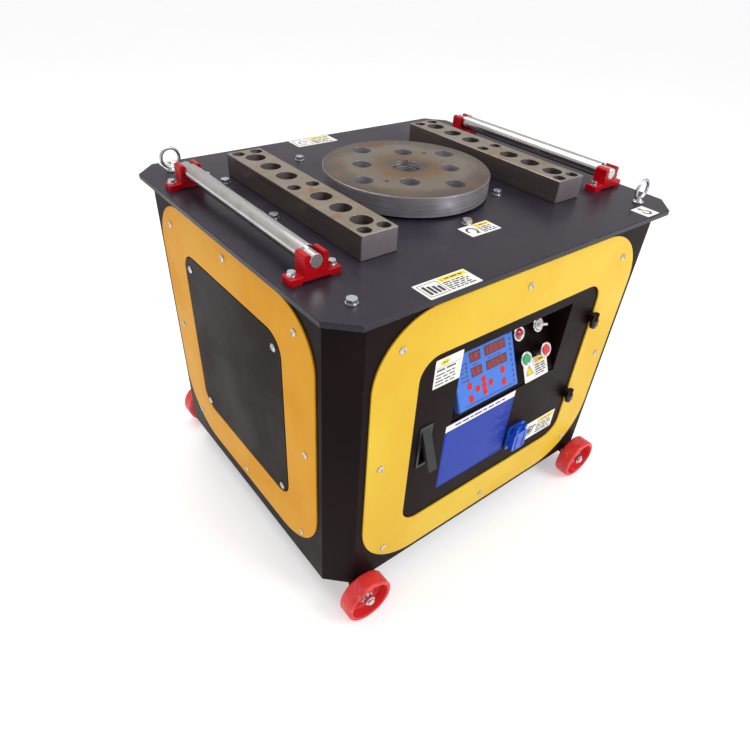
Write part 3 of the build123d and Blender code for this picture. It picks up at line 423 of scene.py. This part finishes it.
def printed_film(name, colour, gloss=0.35, fade=0.06, coat=0.2, sheen_level=0.35):
    """Ink on a film: faint fade and grain, with a thin clear coat."""
    finish, tree, place = new_finish(name)
    faded = tuple(min(1.0, channel + fade * (0.6 - channel)) for channel in colour[:3]) + (1.0,)
    wide = patches(tree, place, 40.0, 5.0, 0.35, 0.7)
    ink = patches(tree, place, 1600.0, 2.0, 0.3, 0.8)
    shade = blend(tree, calc(tree, "MULTIPLY", calc(tree, "ADD", wide, ink), 0.5), colour, faded)
    height = use(tree, SKIN, {"Vector": place, "Ripple": 180.0, "Grain": 1500.0})["Height"]
    finish_off(tree, shade, between(tree, wide, gloss - 0.05, gloss + 0.08),
               raised(tree, height, 0.12, 0.00008), Coat_Weight=coat, Coat_Roughness=0.15,
               Specular_IOR_Level=sheen_level)
    return finish


def glowing_glass(name, colour, glow, strength, gloss=0.1):
    """Tinted lens or display glass with a low glow from inside."""
    finish, tree, place = new_finish(name)
    wide = patches(tree, place, 120.0, 3.0, 0.3, 0.75)
    lit = blend(tree, wide, glow, tuple(c * 0.6 for c in glow[:3]) + (1.0,))
    shade = blend(tree, wide, colour, tuple(c * 0.75 for c in colour[:3]) + (1.0,))
    height = use(tree, SKIN, {"Vector": place, "Ripple": 500.0, "Grain": 2200.0})["Height"]
    finish_off(tree, shade, between(tree, wide, gloss, gloss + 0.08), raised(tree, height, 0.05, 0.00005),
               Coat_Weight=0.6, Coat_Roughness=0.05, Emission_Color=lit, Emission_Strength=strength)
    return finish


STEEL_SHOWING = srgb(128, 120, 112)
table_paint = sprayed_paint("table_paint", srgb(28, 22, 36), srgb(36, 28, 43), STEEL_SHOWING, 0.34,
                            rubbed=0.46, dust=0.1, sheen_level=0.27, scratch=0.46,
                            scratch_tone=srgb(74, 68, 78))
cabinet_paint = sprayed_paint("cabinet_paint", srgb(20, 9, 10), srgb(28, 15, 15), STEEL_SHOWING, 0.42,
                              rubbed=0.4, dust=0.2, sheen_level=0.05, scratch_tone=srgb(52, 42, 42))
trim_paint = sprayed_paint("trim_paint", srgb(226, 188, 48), srgb(220, 176, 42), srgb(120, 96, 60), 0.36,
                           rubbed=0.36, dust=0.0, sheen_level=0.15, scratch=0.35,
                           scratch_tone=srgb(196, 150, 36))
# Painted shade: the side and rear rings take a darker, more orange copy of the front ring's yellow, with less
# sheen, as if they lay in the shade that the key light leaves on those faces.
shaded_side_trim_paint = sprayed_paint("shaded_side_trim_paint", srgb(226, 160, 12), srgb(220, 150, 10),
                                srgb(120, 96, 60), 0.36, rubbed=0.36, dust=0.0, sheen_level=0.06,
                                scratch=0.35,
                                scratch_tone=srgb(184, 130, 30))
bracket_paint = sprayed_paint("bracket_paint", srgb(190, 0, 18), srgb(162, 0, 14), srgb(110, 60, 56), 0.3,
                              rubbed=0.48, dust=0.08, sheen_level=0.2, scratch_tone=srgb(110, 10, 14))
disc_steel = oiled_steel("disc_steel", (9.0, 9.0, 480.0), srgb(138, 128, 106), srgb(148, 144, 152),
                         srgb(172, 170, 180), srgb(130, 130, 136), 0.52, rings=True)
bar_steel = oiled_steel("bar_steel", (420.0, 9.0, 420.0), srgb(160, 148, 136), srgb(84, 74, 74),
                        srgb(92, 82, 80), srgb(136, 128, 134), 0.54)
roller_steel = ground_steel("roller_steel", "Y", srgb(206, 202, 200), srgb(172, 164, 156), 0.14, 0.22)
socket_steel = ground_steel("socket_steel", "Z", srgb(96, 92, 90), srgb(66, 60, 56), 0.3, 0.45)
zinc_plate = ground_steel("zinc_plate", "Z", srgb(206, 208, 212), srgb(168, 168, 166), 0.2, 0.36, 900.0)
gear_steel = ground_steel("gear_steel", "Z", srgb(150, 150, 152), srgb(104, 98, 92), 0.25, 0.42)
core_steel = ground_steel("core_steel", "X", srgb(124, 104, 84), srgb(88, 72, 58), 0.4, 0.55)
panel_zinc = ground_steel("panel_zinc", "X", srgb(176, 180, 178), srgb(146, 150, 148), 0.32, 0.48)
chrome = ground_steel("chrome", "Z", srgb(226, 226, 228), srgb(204, 204, 206), 0.06, 0.14, 1400.0)
gear_case_paint = cast_paint("gear_case_paint", srgb(96, 102, 108), srgb(78, 84, 90))
motor_paint = cast_paint("motor_paint", srgb(34, 82, 140), srgb(26, 66, 118))
belt_rubber = moulded("belt_rubber", srgb(26, 26, 26), srgb(38, 37, 36), 0.7, 900.0, 0.4)
black_plastic = moulded("black_plastic", srgb(24, 23, 24), srgb(34, 33, 34), 0.42, 2600.0, 0.3)
wheel_plastic = moulded("wheel_plastic", srgb(226, 44, 46), srgb(206, 34, 38), 0.42, 900.0, 0.25,
                        scuff=srgb(236, 132, 122), corner=0.002)
controller_plastic = moulded("controller_plastic", srgb(66, 104, 196), srgb(56, 92, 182), 0.4)
start_plastic = moulded("start_plastic", srgb(0, 160, 84), srgb(0, 148, 76), 0.25, coat=0.5)
stop_plastic = moulded("stop_plastic", srgb(222, 18, 34), srgb(206, 14, 28), 0.25, coat=0.5)
socket_plastic = moulded("socket_plastic", srgb(20, 84, 206), srgb(16, 72, 188), 0.34, 1400.0, coat=0.2)
lever_plastic = moulded("lever_plastic", srgb(216, 214, 210), srgb(196, 194, 190), 0.3, coat=0.3)
lamp_lens = glowing_glass("lamp_lens", srgb(168, 8, 40), srgb(200, 10, 40), 0.25)

FINISH_OF = {
    table_paint: ["table_plate"],
    cabinet_paint: ["left_side_sheet", "right_side_sheet", "front_panel", "rear_panel", "left_cover",
                    "right_cover", "rear_cover", "base_pan", "control_door", "console_tray", "motor_stand"],
    trim_paint: ["front_trim_ring"],
    shaded_side_trim_paint: ["side_and_rear_trim_rings"],
    bracket_paint: ["roller_bracket_left_front", "roller_bracket_left_rear",
                    "roller_bracket_right_front", "roller_bracket_right_rear"],
    disc_steel: ["bending_disc"],
    bar_steel: ["left_pin_bar", "right_pin_bar"],
    roller_steel: ["left_roller", "right_roller"],
    zinc_plate: ["table_bolts", "panel_screws", "eyebolt_rear_left", "eyebolt_front_right", "wheel_axles"],
    socket_steel: ["pin_bar_screws"],
    gear_steel: ["main_shaft", "output_gear", "intermediate_shaft", "intermediate_gear", "input_shaft",
                 "rotor_shaft", "ball_bearings"],
    gear_case_paint: ["gearbox_housing", "gearbox_cover", "input_pulley", "motor_pulley"],
    motor_paint: ["motor_housing"],
    core_steel: ["stator_core"],
    belt_rubber: ["drive_belts"],
    panel_zinc: ["electrical_panel"],
    black_plastic: ["cable_gland", "console_controls", "frame_knuckles", "door_lock", "lock_handle"],
    lever_plastic: ["selector_lever"],
    wheel_plastic: ["wheel_front_left", "wheel_front_right", "wheel_rear_left", "wheel_rear_right"],
    controller_plastic: ["controller_box"],
    start_plastic: ["start_button"],
    stop_plastic: ["stop_button"],
    lamp_lens: ["indicator_lens"],
    socket_plastic: ["socket_body", "socket_cap"],
}
for finish, parts in FINISH_OF.items():
    for part in parts:
        nodes[part].data.materials.clear()
        nodes[part].data.materials.append(finish)


# ---------------------------------------------------------------- mesh helpers


def standing(origin, across, up):
    """Where a flat drawing is put: its across and up directions, and its face looking out."""
    across, up = Vector(across).normalized(), Vector(up).normalized()
    out = across.cross(up)
    place = Matrix((across, up, out)).transposed().to_4x4()
    place.translation = Vector(origin)
    return place


ON_TABLE = standing((0, 0, TABLE_TOP), (1, 0, 0), (0, 1, 0))
ON_DOOR = standing((0, DOOR_FACE, CHASSIS_FOOT), (1, 0, 0), (0, 0, 1))
ON_SLOPE = standing((0, DOOR_FACE, SLOPE_FOOT), (1, 0, 0), (0, math.sin(SLOPE), math.cos(SLOPE)))


def make_piece(name, mesh_work, finishes, place, body, smooth=35):
    """Turns finished mesh work into an object that rides on a body of the frame."""
    bmesh.ops.recalc_face_normals(mesh_work, faces=mesh_work.faces)
    mesh = bpy.data.meshes.new(name)
    mesh_work.to_mesh(mesh)
    mesh_work.free()
    mesh.transform(place)
    for finish in finishes:
        mesh.materials.append(finish)
    for face in mesh.polygons:
        face.use_smooth = True
    mesh.set_sharp_from_angle(angle=math.radians(smooth))
    piece = bpy.data.objects.new(name, mesh)
    bpy.context.scene.collection.objects.link(piece)
    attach(piece, body)
    return piece


def slab(work, outline, low, high, finish=0):
    """A plate of any outline, in millimetres, between two heights."""
    lower = [work.verts.new((u * MM, v * MM, low * MM)) for u, v in outline]
    upper = [work.verts.new((u * MM, v * MM, high * MM)) for u, v in outline]
    faces = [work.faces.new(upper), work.faces.new(lower[::-1])]
    for here, after in zip(range(len(outline)), list(range(1, len(outline))) + [0]):
        faces.append(work.faces.new((lower[here], lower[after], upper[after], upper[here])))
    for face in faces:
        face.material_index = finish


def oblong(left, low, right, high, radius=0.0, steps=4):
    """Outline of a rectangle with round corners."""
    radius = min(radius, (right - left) / 2 - 0.01, (high - low) / 2 - 0.01)
    if radius <= 0:
        return [(left, low), (right, low), (right, high), (left, high)]
    points = []
    for u, v, start in ((right - radius, high - radius, 0), (left + radius, high - radius, 90),
                        (left + radius, low + radius, 180), (right - radius, low + radius, 270)):
        for step in range(steps + 1):
            angle = math.radians(start + 90 * step / steps)
            points.append((u + radius * math.cos(angle), v + radius * math.sin(angle)))
    return points


def oval(u, v, half_width, half_height, steps=28):
    turns = [math.tau * k / steps for k in range(steps)]
    return [(u + half_width * math.cos(turn), v + half_height * math.sin(turn)) for turn in turns]


def arc_band(u, v, radius, width, start, end, steps=18):
    """Outline of a bent stroke."""
    turn = [math.radians(start + (end - start) * k / steps) for k in range(steps + 1)]
    far = [(u + (radius + width / 2) * math.cos(a), v + (radius + width / 2) * math.sin(a)) for a in turn]
    near = [(u + (radius - width / 2) * math.cos(a), v + (radius - width / 2) * math.sin(a)) for a in turn]
    return far + near[::-1]


def pointer(u, v, angle, size):
    """Outline of an arrow head."""
    angle = math.radians(angle)
    return [(u + size * math.cos(angle + a), v + size * math.sin(angle + a)) for a in (0, 2.3, -2.3)]


def mark_rows(work, left, low, right, high, rows, seed, finish, low_z, high_z, fill=0.55):
    """Rows of short dashes that stand for print too small to read."""
    dice = random.Random(seed)
    pitch = (high - low) / rows
    for row in range(rows):
        v = high - pitch * (row + 0.5)
        u, last = left, right - dice.uniform(0, 0.25) * (right - left)
        while u < last - pitch * 0.6:
            length = min(dice.uniform(0.9, 3.2) * pitch, last - u)
            thick = pitch * fill / 2
            slab(work, oblong(u, v - thick, u + length, v + thick, thick * 0.3, 2), low_z, high_z, finish)
            u += length + pitch * dice.uniform(0.35, 0.6)


def turned(work, profile, steps=48, finish=0):
    """A closed ring turned round the drawing's own up axis, from points of radius and height."""
    rows = []
    for k in range(steps):
        angle = math.tau * k / steps
        rows.append([work.verts.new((r * MM * math.cos(angle), r * MM * math.sin(angle), z * MM))
                     for r, z in profile])
    for k in range(steps):
        here, after = rows[k], rows[(k + 1) % steps]
        for j in range(len(profile)):
            nxt = (j + 1) % len(profile)
            face = work.faces.new((here[j], after[j], after[nxt], here[nxt]))
            face.material_index = finish


# ---------------------------------------------------------------- printed labels

white_film = printed_film("white_film", srgb(232, 230, 224))
black_ink = printed_film("black_ink", srgb(34, 34, 38), 0.4, 0.1)
yellow_ink = printed_film("yellow_ink", srgb(238, 208, 30), 0.35, 0.0, 0.1)
orange_ink = printed_film("orange_ink", srgb(232, 150, 40))
blue_film = printed_film("blue_film", srgb(24, 50, 152), 0.36, 0.0, 0.0, 0.08)
pale_blue_ink = printed_film("pale_blue_ink", srgb(74, 94, 186), 0.35, 0.02, 0.0, 0.1)
LABEL_INKS = [white_film, black_ink, yellow_ink, orange_ink]
WHITE, BLACK, YELLOW, ORANGE = range(4)
FILM, PRINT, OVERPRINT = (0.02, 0.28), (0.2, 0.34), (0.3, 0.38)


def label_base(left, low, right, high, corner=2.0):
    work = bmesh.new()
    slab(work, oblong(left, low, right, high, corner), *FILM, WHITE)
    return work


def headed_print(work, left, low, right, high, rows, seed):
    """A yellow heading with dashes on it, and rows of dashes under it."""
    split = high - (high - low) * 0.3
    slab(work, oblong(left, split, right, high - 1.2, 0.8), *PRINT, YELLOW)
    middle = (split + high) / 2 - 0.6
    slab(work, [(left + 2, middle - 3.2), (left + 9.4, middle - 3.2), (left + 5.7, middle + 3.4)],
         *OVERPRINT, ORANGE)
    mark_rows(work, left + 12, middle - 3.2, right - 2, middle + 3.2, 1, seed + 7, BLACK, *OVERPRINT)
    mark_rows(work, left, low + 1.6, right, split - 1.4, rows, seed, BLACK, *PRINT)


def table_rear_label():
    work = label_base(-55, 331, 60, 381)
    slab(work, oblong(-50, 337, -8, 375, 1.5), *PRINT, BLACK)
    slab(work, oblong(-48.5, 338.5, -9.5, 373.5, 1.0), *OVERPRINT, WHITE)
    slab(work, arc_band(-29, 354, 10, 3.4, 20, 290), 0.34, 0.42, BLACK)
    slab(work, pointer(-18.6, 357, 80, 5), 0.34, 0.42, BLACK)
    headed_print(work, -3, 334, 56, 379, 4, 11)
    make_piece("label_table_rear", work, LABEL_INKS, ON_TABLE, "cabinet")


def table_front_label():
    work = label_base(-270, -383, -157, -336)
    slab(work, oblong(-265, -378, -224, -341, 1.5), *PRINT, BLACK)
    slab(work, oblong(-263.6, -376.6, -225.4, -342.4, 1.0), *OVERPRINT, WHITE)
    for u in range(4):
        slab(work, oblong(-260 + u * 8.6, -373, -254 + u * 8.6, -346 - u * 3, 0.8), 0.34, 0.42, BLACK)
    headed_print(work, -220, -380, -161, -338, 5, 23)
    make_piece("label_table_front", work, LABEL_INKS, ON_TABLE, "cabinet")


def turning_label():
    work = label_base(-54, -258, 23, -217)
    slab(work, arc_band(-36, -238, 10.5, 4.2, -60, 200), *PRINT, BLACK)
    slab(work, pointer(-30.2, -248.4, -160, 6.2), *OVERPRINT, BLACK)
    headed_print(work, -18, -256, 20, -219, 4, 31)
    make_piece("label_turning_way", work, LABEL_INKS, ON_TABLE, "cabinet")


def hook_label(name, u, v):
    work = label_base(u - 21, v - 21, u + 21, v + 21)
    slab(work, arc_band(u, v - 4.5, 8, 4.6, -215, 65), *PRINT, BLACK)
    slab(work, oblong(u - 2.2, v + 3, u + 2.2, v + 13, 0.8), *OVERPRINT, BLACK)
    slab(work, oval(u, v + 13.5, 4.4, 3.6), *PRINT, BLACK)
    make_piece(name, work, LABEL_INKS, ON_TABLE, "cabinet")


def certificate_label():
    work = label_base(-219, 522.5, -151, 587.5)
    slab(work, oval(-196, 577, 12, 6.5), *PRINT, YELLOW)
    slab(work, oblong(-202, 576, -190, 578.4, 0.5), *OVERPRINT, BLACK)
    slab(work, oblong(-216, 567.6, -154, 568.4), *PRINT, BLACK)
    mark_rows(work, -214, 558.5, -158, 566, 1, 5, BLACK, *PRINT)
    mark_rows(work, -214, 526, -156, 556, 4, 6, BLACK, *PRINT, 0.4)
    make_piece("label_maker_plate", work, LABEL_INKS, ON_DOOR, "front_door")


def ruled_sheet():
    work = bmesh.new()
    slab(work, oblong(-163, 221, 44, 402.5, 1.0), *FILM, 0)
    slab(work, oblong(-162.6, 385, 43.6, 402.1, 0.8), *PRINT, 1)
    mark_rows(work, -136, 389.5, 20, 397.5, 1, 3, 2, *OVERPRINT)
    mark_rows(work, -157, 226, 38, 381, 27, 4, 3, *PRINT, 0.3)
    make_piece("label_blue_sheet", work, [blue_film, white_film, blue_film, pale_blue_ink],
               ON_DOOR, "front_door")


def plug_label():
    work = label_base(120, 201, 233, 256)
    slab(work, oval(143, 228, 14.5, 15), *PRINT, BLACK)
    slab(work, oval(143, 228, 10.4, 10.8), *OVERPRINT, WHITE)
    slab(work, oval(143, 228, 8, 8.4), 0.36, 0.44, BLACK)
    slab(work, oblong(155, 234, 166, 240, 1.5), *PRINT, BLACK)
    headed_print(work, 171, 204, 229, 253, 5, 41)
    make_piece("label_plug", work, LABEL_INKS, ON_DOOR, "front_door")


def caution_label():
    work = label_base(73, 0.5, 150, 50)
    slab(work, [(79, 15), (103, 15), (91, 38)], *PRINT, BLACK)
    slab(work, [(81.4, 16.4), (100.6, 16.4), (91, 35)], *OVERPRINT, YELLOW)
    slab(work, oblong(106.6, 3, 107.2, 48), *PRINT, BLACK)
    headed_print(work, 110, 5, 147, 48, 5, 53)
    make_piece("label_caution", work, LABEL_INKS, ON_SLOPE, "front_door")


# ---------------------------------------------------------------- controller front

membrane_blue = printed_film("membrane_blue", srgb(80, 128, 218), 0.36, 0.0, 0.0, 0.12)
membrane_edge = printed_film("membrane_edge", srgb(50, 84, 176), 0.35)
key_orange = printed_film("key_orange", srgb(214, 54, 36), 0.36, 0.0, 0.0, 0.12)
key_ink = printed_film("key_ink", srgb(150, 26, 30), 0.4)
mark_navy = printed_film("mark_navy", srgb(38, 50, 112), 0.4, 0.1)
display_glass = glowing_glass("display_glass", srgb(112, 18, 30), srgb(120, 12, 24), 0.12)
display_dark = printed_film("display_dark", srgb(64, 16, 32), 0.2, 0.05, 0.5)
segment_red = glowing_glass("segment_red", srgb(196, 34, 44), srgb(214, 30, 42), 0.35)
CONTROLLER_FACE = 14.0
SEGMENTS = {0: "abcdef", 1: "bc", 3: "abgcd", 5: "afgcd", 8: "abcdefg"}


def digit(work, left, low, height, figure, finish, low_z, high_z):
    """One seven-bar figure of a display."""
    width, bar = height * 0.52, height * 0.11
    right, high, middle = left + width, low + height, low + height / 2
    bars = {
        "a": (left, high - bar, right, high), "d": (left, low, right, low + bar),
        "g": (left, middle - bar / 2, right, middle + bar / 2),
        "f": (left, middle, left + bar, high), "b": (right - bar, middle, right, high),
        "e": (left, low, left + bar, middle), "c": (right - bar, low, right, middle)}
    for key in SEGMENTS[figure]:
        u0, v0, u1, v1 = bars[key]
        slab(work, oblong(u0 + 0.3, v0 + 0.3, u1 - 0.3, v1 - 0.3), low_z, high_z, finish)


def controller_front():
    top = CONTROLLER_FACE
    work = bmesh.new()
    slab(work, oblong(-135, 19, 35, 167, 2.5), top + 0.02, top + 0.3, 1)
    slab(work, oblong(-133.6, 20.4, 33.6, 165.6, 2.0), top + 0.2, top + 0.4, 0)
    for left, right, figures in ((-91, -60, (5, 8)), (-49, 12, (1, 3, 5, 0))):
        for low, high in ((109, 130), (78.5, 98.5)):
            slab(work, oblong(left, low, right, high, 1.2), top + 0.3, top + 0.46, 5)
            slab(work, oblong(left + 1.4, low + 1.4, right - 1.4, high - 1.4, 0.8), top + 0.4, top + 0.54, 4)
            pitch = (right - left - 4) / len(figures)
            for k, figure in enumerate(figures):
                digit(work, left + 2.6 + k * pitch, low + 4, high - low - 8, figure, 6, top + 0.5, top + 0.6)
        mark_rows(work, left + 7, 101, right - 7, 105, 1, int(right), 3, top + 0.36, top + 0.46)
    dice = random.Random(8)
    for k in range(5):
        s = 78 + k * 8.5
        slab(work, oval(-103 + k * 0.2, s, 2.6, 3.2, 14), top + 0.36, top + 0.5, 3)
        mark_rows(work, -118, s - 2.4, -107, s + 2.4, 1, 60 + k, 3, top + 0.36, top + 0.46)
    for k in range(10):
        s, u = 30 + k * 11.6, 25 + dice.uniform(-0.4, 0.4)
        slab(work, oblong(u - 2.2, s - 3.0, u + 2.2, s + 3.0, 1.0), top + 0.36, top + 0.5, 3)
        slab(work, oblong(u - 0.6, s - 1.6, u + 2.8, s - 0.4, 0.3), top + 0.36, top + 0.52, 3)
    for k in range(48):
        u = -118 + k * 2.9
        slab(work, oblong(u, 23.4, u + 1.5, 23.4 + (3.6 if k % 4 else 5.4), 0.2), top + 0.36, top + 0.46, 3)
    mark_rows(work, -40, 138, 26, 144, 1, 71, 3, top + 0.36, top + 0.46)
    mark_rows(work, -122, 138, -62, 144, 1, 72, 3, top + 0.36, top + 0.46)
    make_piece("controller_membrane", work,
               [membrane_blue, membrane_edge, key_orange, mark_navy,
                display_glass, display_dark, segment_red],
               ON_SLOPE, "front_door")


def pressed_key(work, u, v, half_width, half_height, top):
    """A low domed key under the film."""
    rings = [(1.0, 0.0), (1.0, 0.35), (0.93, 0.7), (0.78, 0.95), (0.5, 1.08)]
    rows = [[work.verts.new(((u + x) * MM, (v + y) * MM, (top + rise) * MM))
             for x, y in oval(0, 0, half_width * share, half_height * share)] for share, rise in rings]
    for first, second in zip(rows, rows[1:]):
        for here in range(len(first)):
            after = (here + 1) % len(first)
            work.faces.new((first[here], first[after], second[after], second[here]))
    work.faces.new(rows[-1])
    work.faces.new(rows[0][::-1])


def controller_keys():
    top = CONTROLLER_FACE + 0.3
    work = bmesh.new()
    centres = [(-60, 51), (-60, 64.7), (-60, 38), (-79, 51), (-41, 51)]
    for u, v in centres:
        pressed_key(work, u, v, 6.6, 7.4, top)
    for u, v in ((-100, 64), (-100, 37), (-4, 64.7), (-4, 39)):
        pressed_key(work, u, v, 6.8, 8.6, top)
        slab(work, oblong(u - 2.6, v - 3.4, u + 2.6, v - 2.0, 0.4), top + 1.0, top + 1.16, 1)
        slab(work, oblong(u - 1.8, v + 1.4, u + 1.8, v + 2.8, 0.4), top + 1.0, top + 1.16, 1)
    for (u, v), way in zip(centres[1:], (90, -90, 180, 0)):
        slab(work, pointer(u, v, way, 3.2), top + 1.0, top + 1.16, 1)
    slab(work, oblong(-63, 50.2, -57, 51.8, 0.4), top + 1.0, top + 1.16, 1)
    make_piece("controller_keys", work, [key_orange, key_ink], ON_SLOPE, "front_door")


# ---------------------------------------------------------------- bezels of the controls

BEZEL = [(11.3, 0.0), (15.3, 0.0), (16.4, 0.7), (16.6, 1.6),
         (16.2, 2.4), (15.0, 2.9), (12.4, 2.7), (11.3, 2.2)]
BEZEL_SUNK = 1.6
CONTROLS = {
    "bezel_start": (59, 67, 24.0), "bezel_stop": (122, 67, 24.0),
    "bezel_lamp": (59, 122, 12.0), "bezel_selector": (122, 122, 11.0)}


def bright_bezels():
    """Bright front rings screwed on the housings of the two buttons, the lamp and the selector."""
    for name, (u, s, height) in CONTROLS.items():
        work = bmesh.new()
        turned(work, [(r, z - BEZEL_SUNK) for r, z in BEZEL])
        place = ON_SLOPE @ Matrix.Translation((u * MM, s * MM, height * MM))
        make_piece(name, work, [chrome], place, "front_door")


def build_labels():
    table_rear_label()
    table_front_label()
    turning_label()
    hook_label("label_hook_front_right", 346, -360)
    hook_label("label_hook_rear_left", -364, 360)
    certificate_label()
    ruled_sheet()
    plug_label()
    caution_label()
    controller_front()
    controller_keys()
    bright_bezels()


build_labels()


# ---------------------------------------------------------------- floor, light and camera


def pale_floor():
    work = bmesh.new()
    slab(work, oblong(-FLOOR_REACH, -FLOOR_REACH, FLOOR_REACH, FLOOR_REACH, FLOOR_CORNER), -FLOOR_THICK, 0.0)
    mesh = bpy.data.meshes.new("studio_floor")
    work.to_mesh(mesh)
    work.free()
    finish, tree, place = new_finish("floor_paint")
    wide = patches(tree, place, 2.0, 3.0, 0.3, 0.7)
    finish_off(tree, blend(tree, wide, (0.84, 0.84, 0.84, 1), (0.82, 0.82, 0.82, 1)), 0.6,
               Specular_IOR_Level=0.1, Emission_Color=(1.0, 1.0, 1.0, 1.0), Emission_Strength=0.34)
    mesh.materials.append(finish)
    floor = bpy.data.objects.new("studio_floor", mesh)
    bpy.context.scene.collection.objects.link(floor)


def sky():
    world = bpy.data.worlds.new("studio")
    bpy.context.scene.world = world
    world.use_nodes = True
    tree = world.node_tree
    tree.nodes.clear()
    aim = put(tree, "ShaderNodeSeparateXYZ", {0: put(tree, "ShaderNodeTexCoord").outputs["Generated"]})
    ramp = put(tree, "ShaderNodeValToRGB", {"Fac": calc(tree, "MULTIPLY", aim.outputs["Z"], 1.0, clamp=True)})
    low, high = ramp.color_ramp.elements
    low.color, high.color = (0.62, 0.62, 0.64, 1), (1.0, 1.0, 1.0, 1)
    light = put(tree, "ShaderNodeBackground", {"Color": ramp.outputs[0], "Strength": 0.85})
    put(tree, "ShaderNodeOutputWorld", {"Surface": light.outputs[0]})


def soft_box(name, position, aim, width, height, power):
    lamp = bpy.data.lights.new(name, "AREA")
    lamp.shape, lamp.size, lamp.size_y, lamp.energy = "RECTANGLE", width, height, power
    holder = bpy.data.objects.new(name, lamp)
    holder.location = position
    holder.rotation_euler = (Vector(aim) - Vector(position)).to_track_quat("-Z", "Y").to_euler()
    bpy.context.scene.collection.objects.link(holder)


EYE_TURNS = -40.05, 38.86, 3.71
EYE_AT = -0.83013, -0.92363, 1.2077
EYE_LENS, EYE_SENSOR = 28.15, 36.0
EYE_SHIFT = 0.0037, 0.0138


def eye():
    azimuth, elevation, roll = (math.radians(angle) for angle in EYE_TURNS)
    back = Vector((math.sin(azimuth) * math.cos(elevation), -math.cos(azimuth) * math.cos(elevation),
                   math.sin(elevation)))
    right = (-back).cross(Vector((0, 0, 1))).normalized()
    up = right.cross(-back)
    level = right * math.cos(roll) + up * math.sin(roll)
    upright = -right * math.sin(roll) + up * math.cos(roll)
    camera = bpy.data.cameras.new("camera")
    camera.lens, camera.sensor_width = EYE_LENS, EYE_SENSOR
    camera.shift_x, camera.shift_y = EYE_SHIFT
    camera.clip_end = 300
    holder = bpy.data.objects.new("camera", camera)
    place = Matrix((level, upright, back)).transposed().to_4x4()
    place.translation = Vector(EYE_AT)
    holder.matrix_world = place
    bpy.context.scene.collection.objects.link(holder)
    bpy.context.scene.camera = holder


pale_floor()
sky()
soft_box("key", (1.2, -2.6, 2.6), (0, 0, 0.5), 1.8, 1.8, 55)
soft_box("overhead", (-0.4, 1.2, 3.2), (0, 0, 0.6), 2.4, 1.6, 40)
eye()
bpy.context.scene.view_settings.view_transform = "Standard"
bpy.context.scene.view_settings.look = "None"
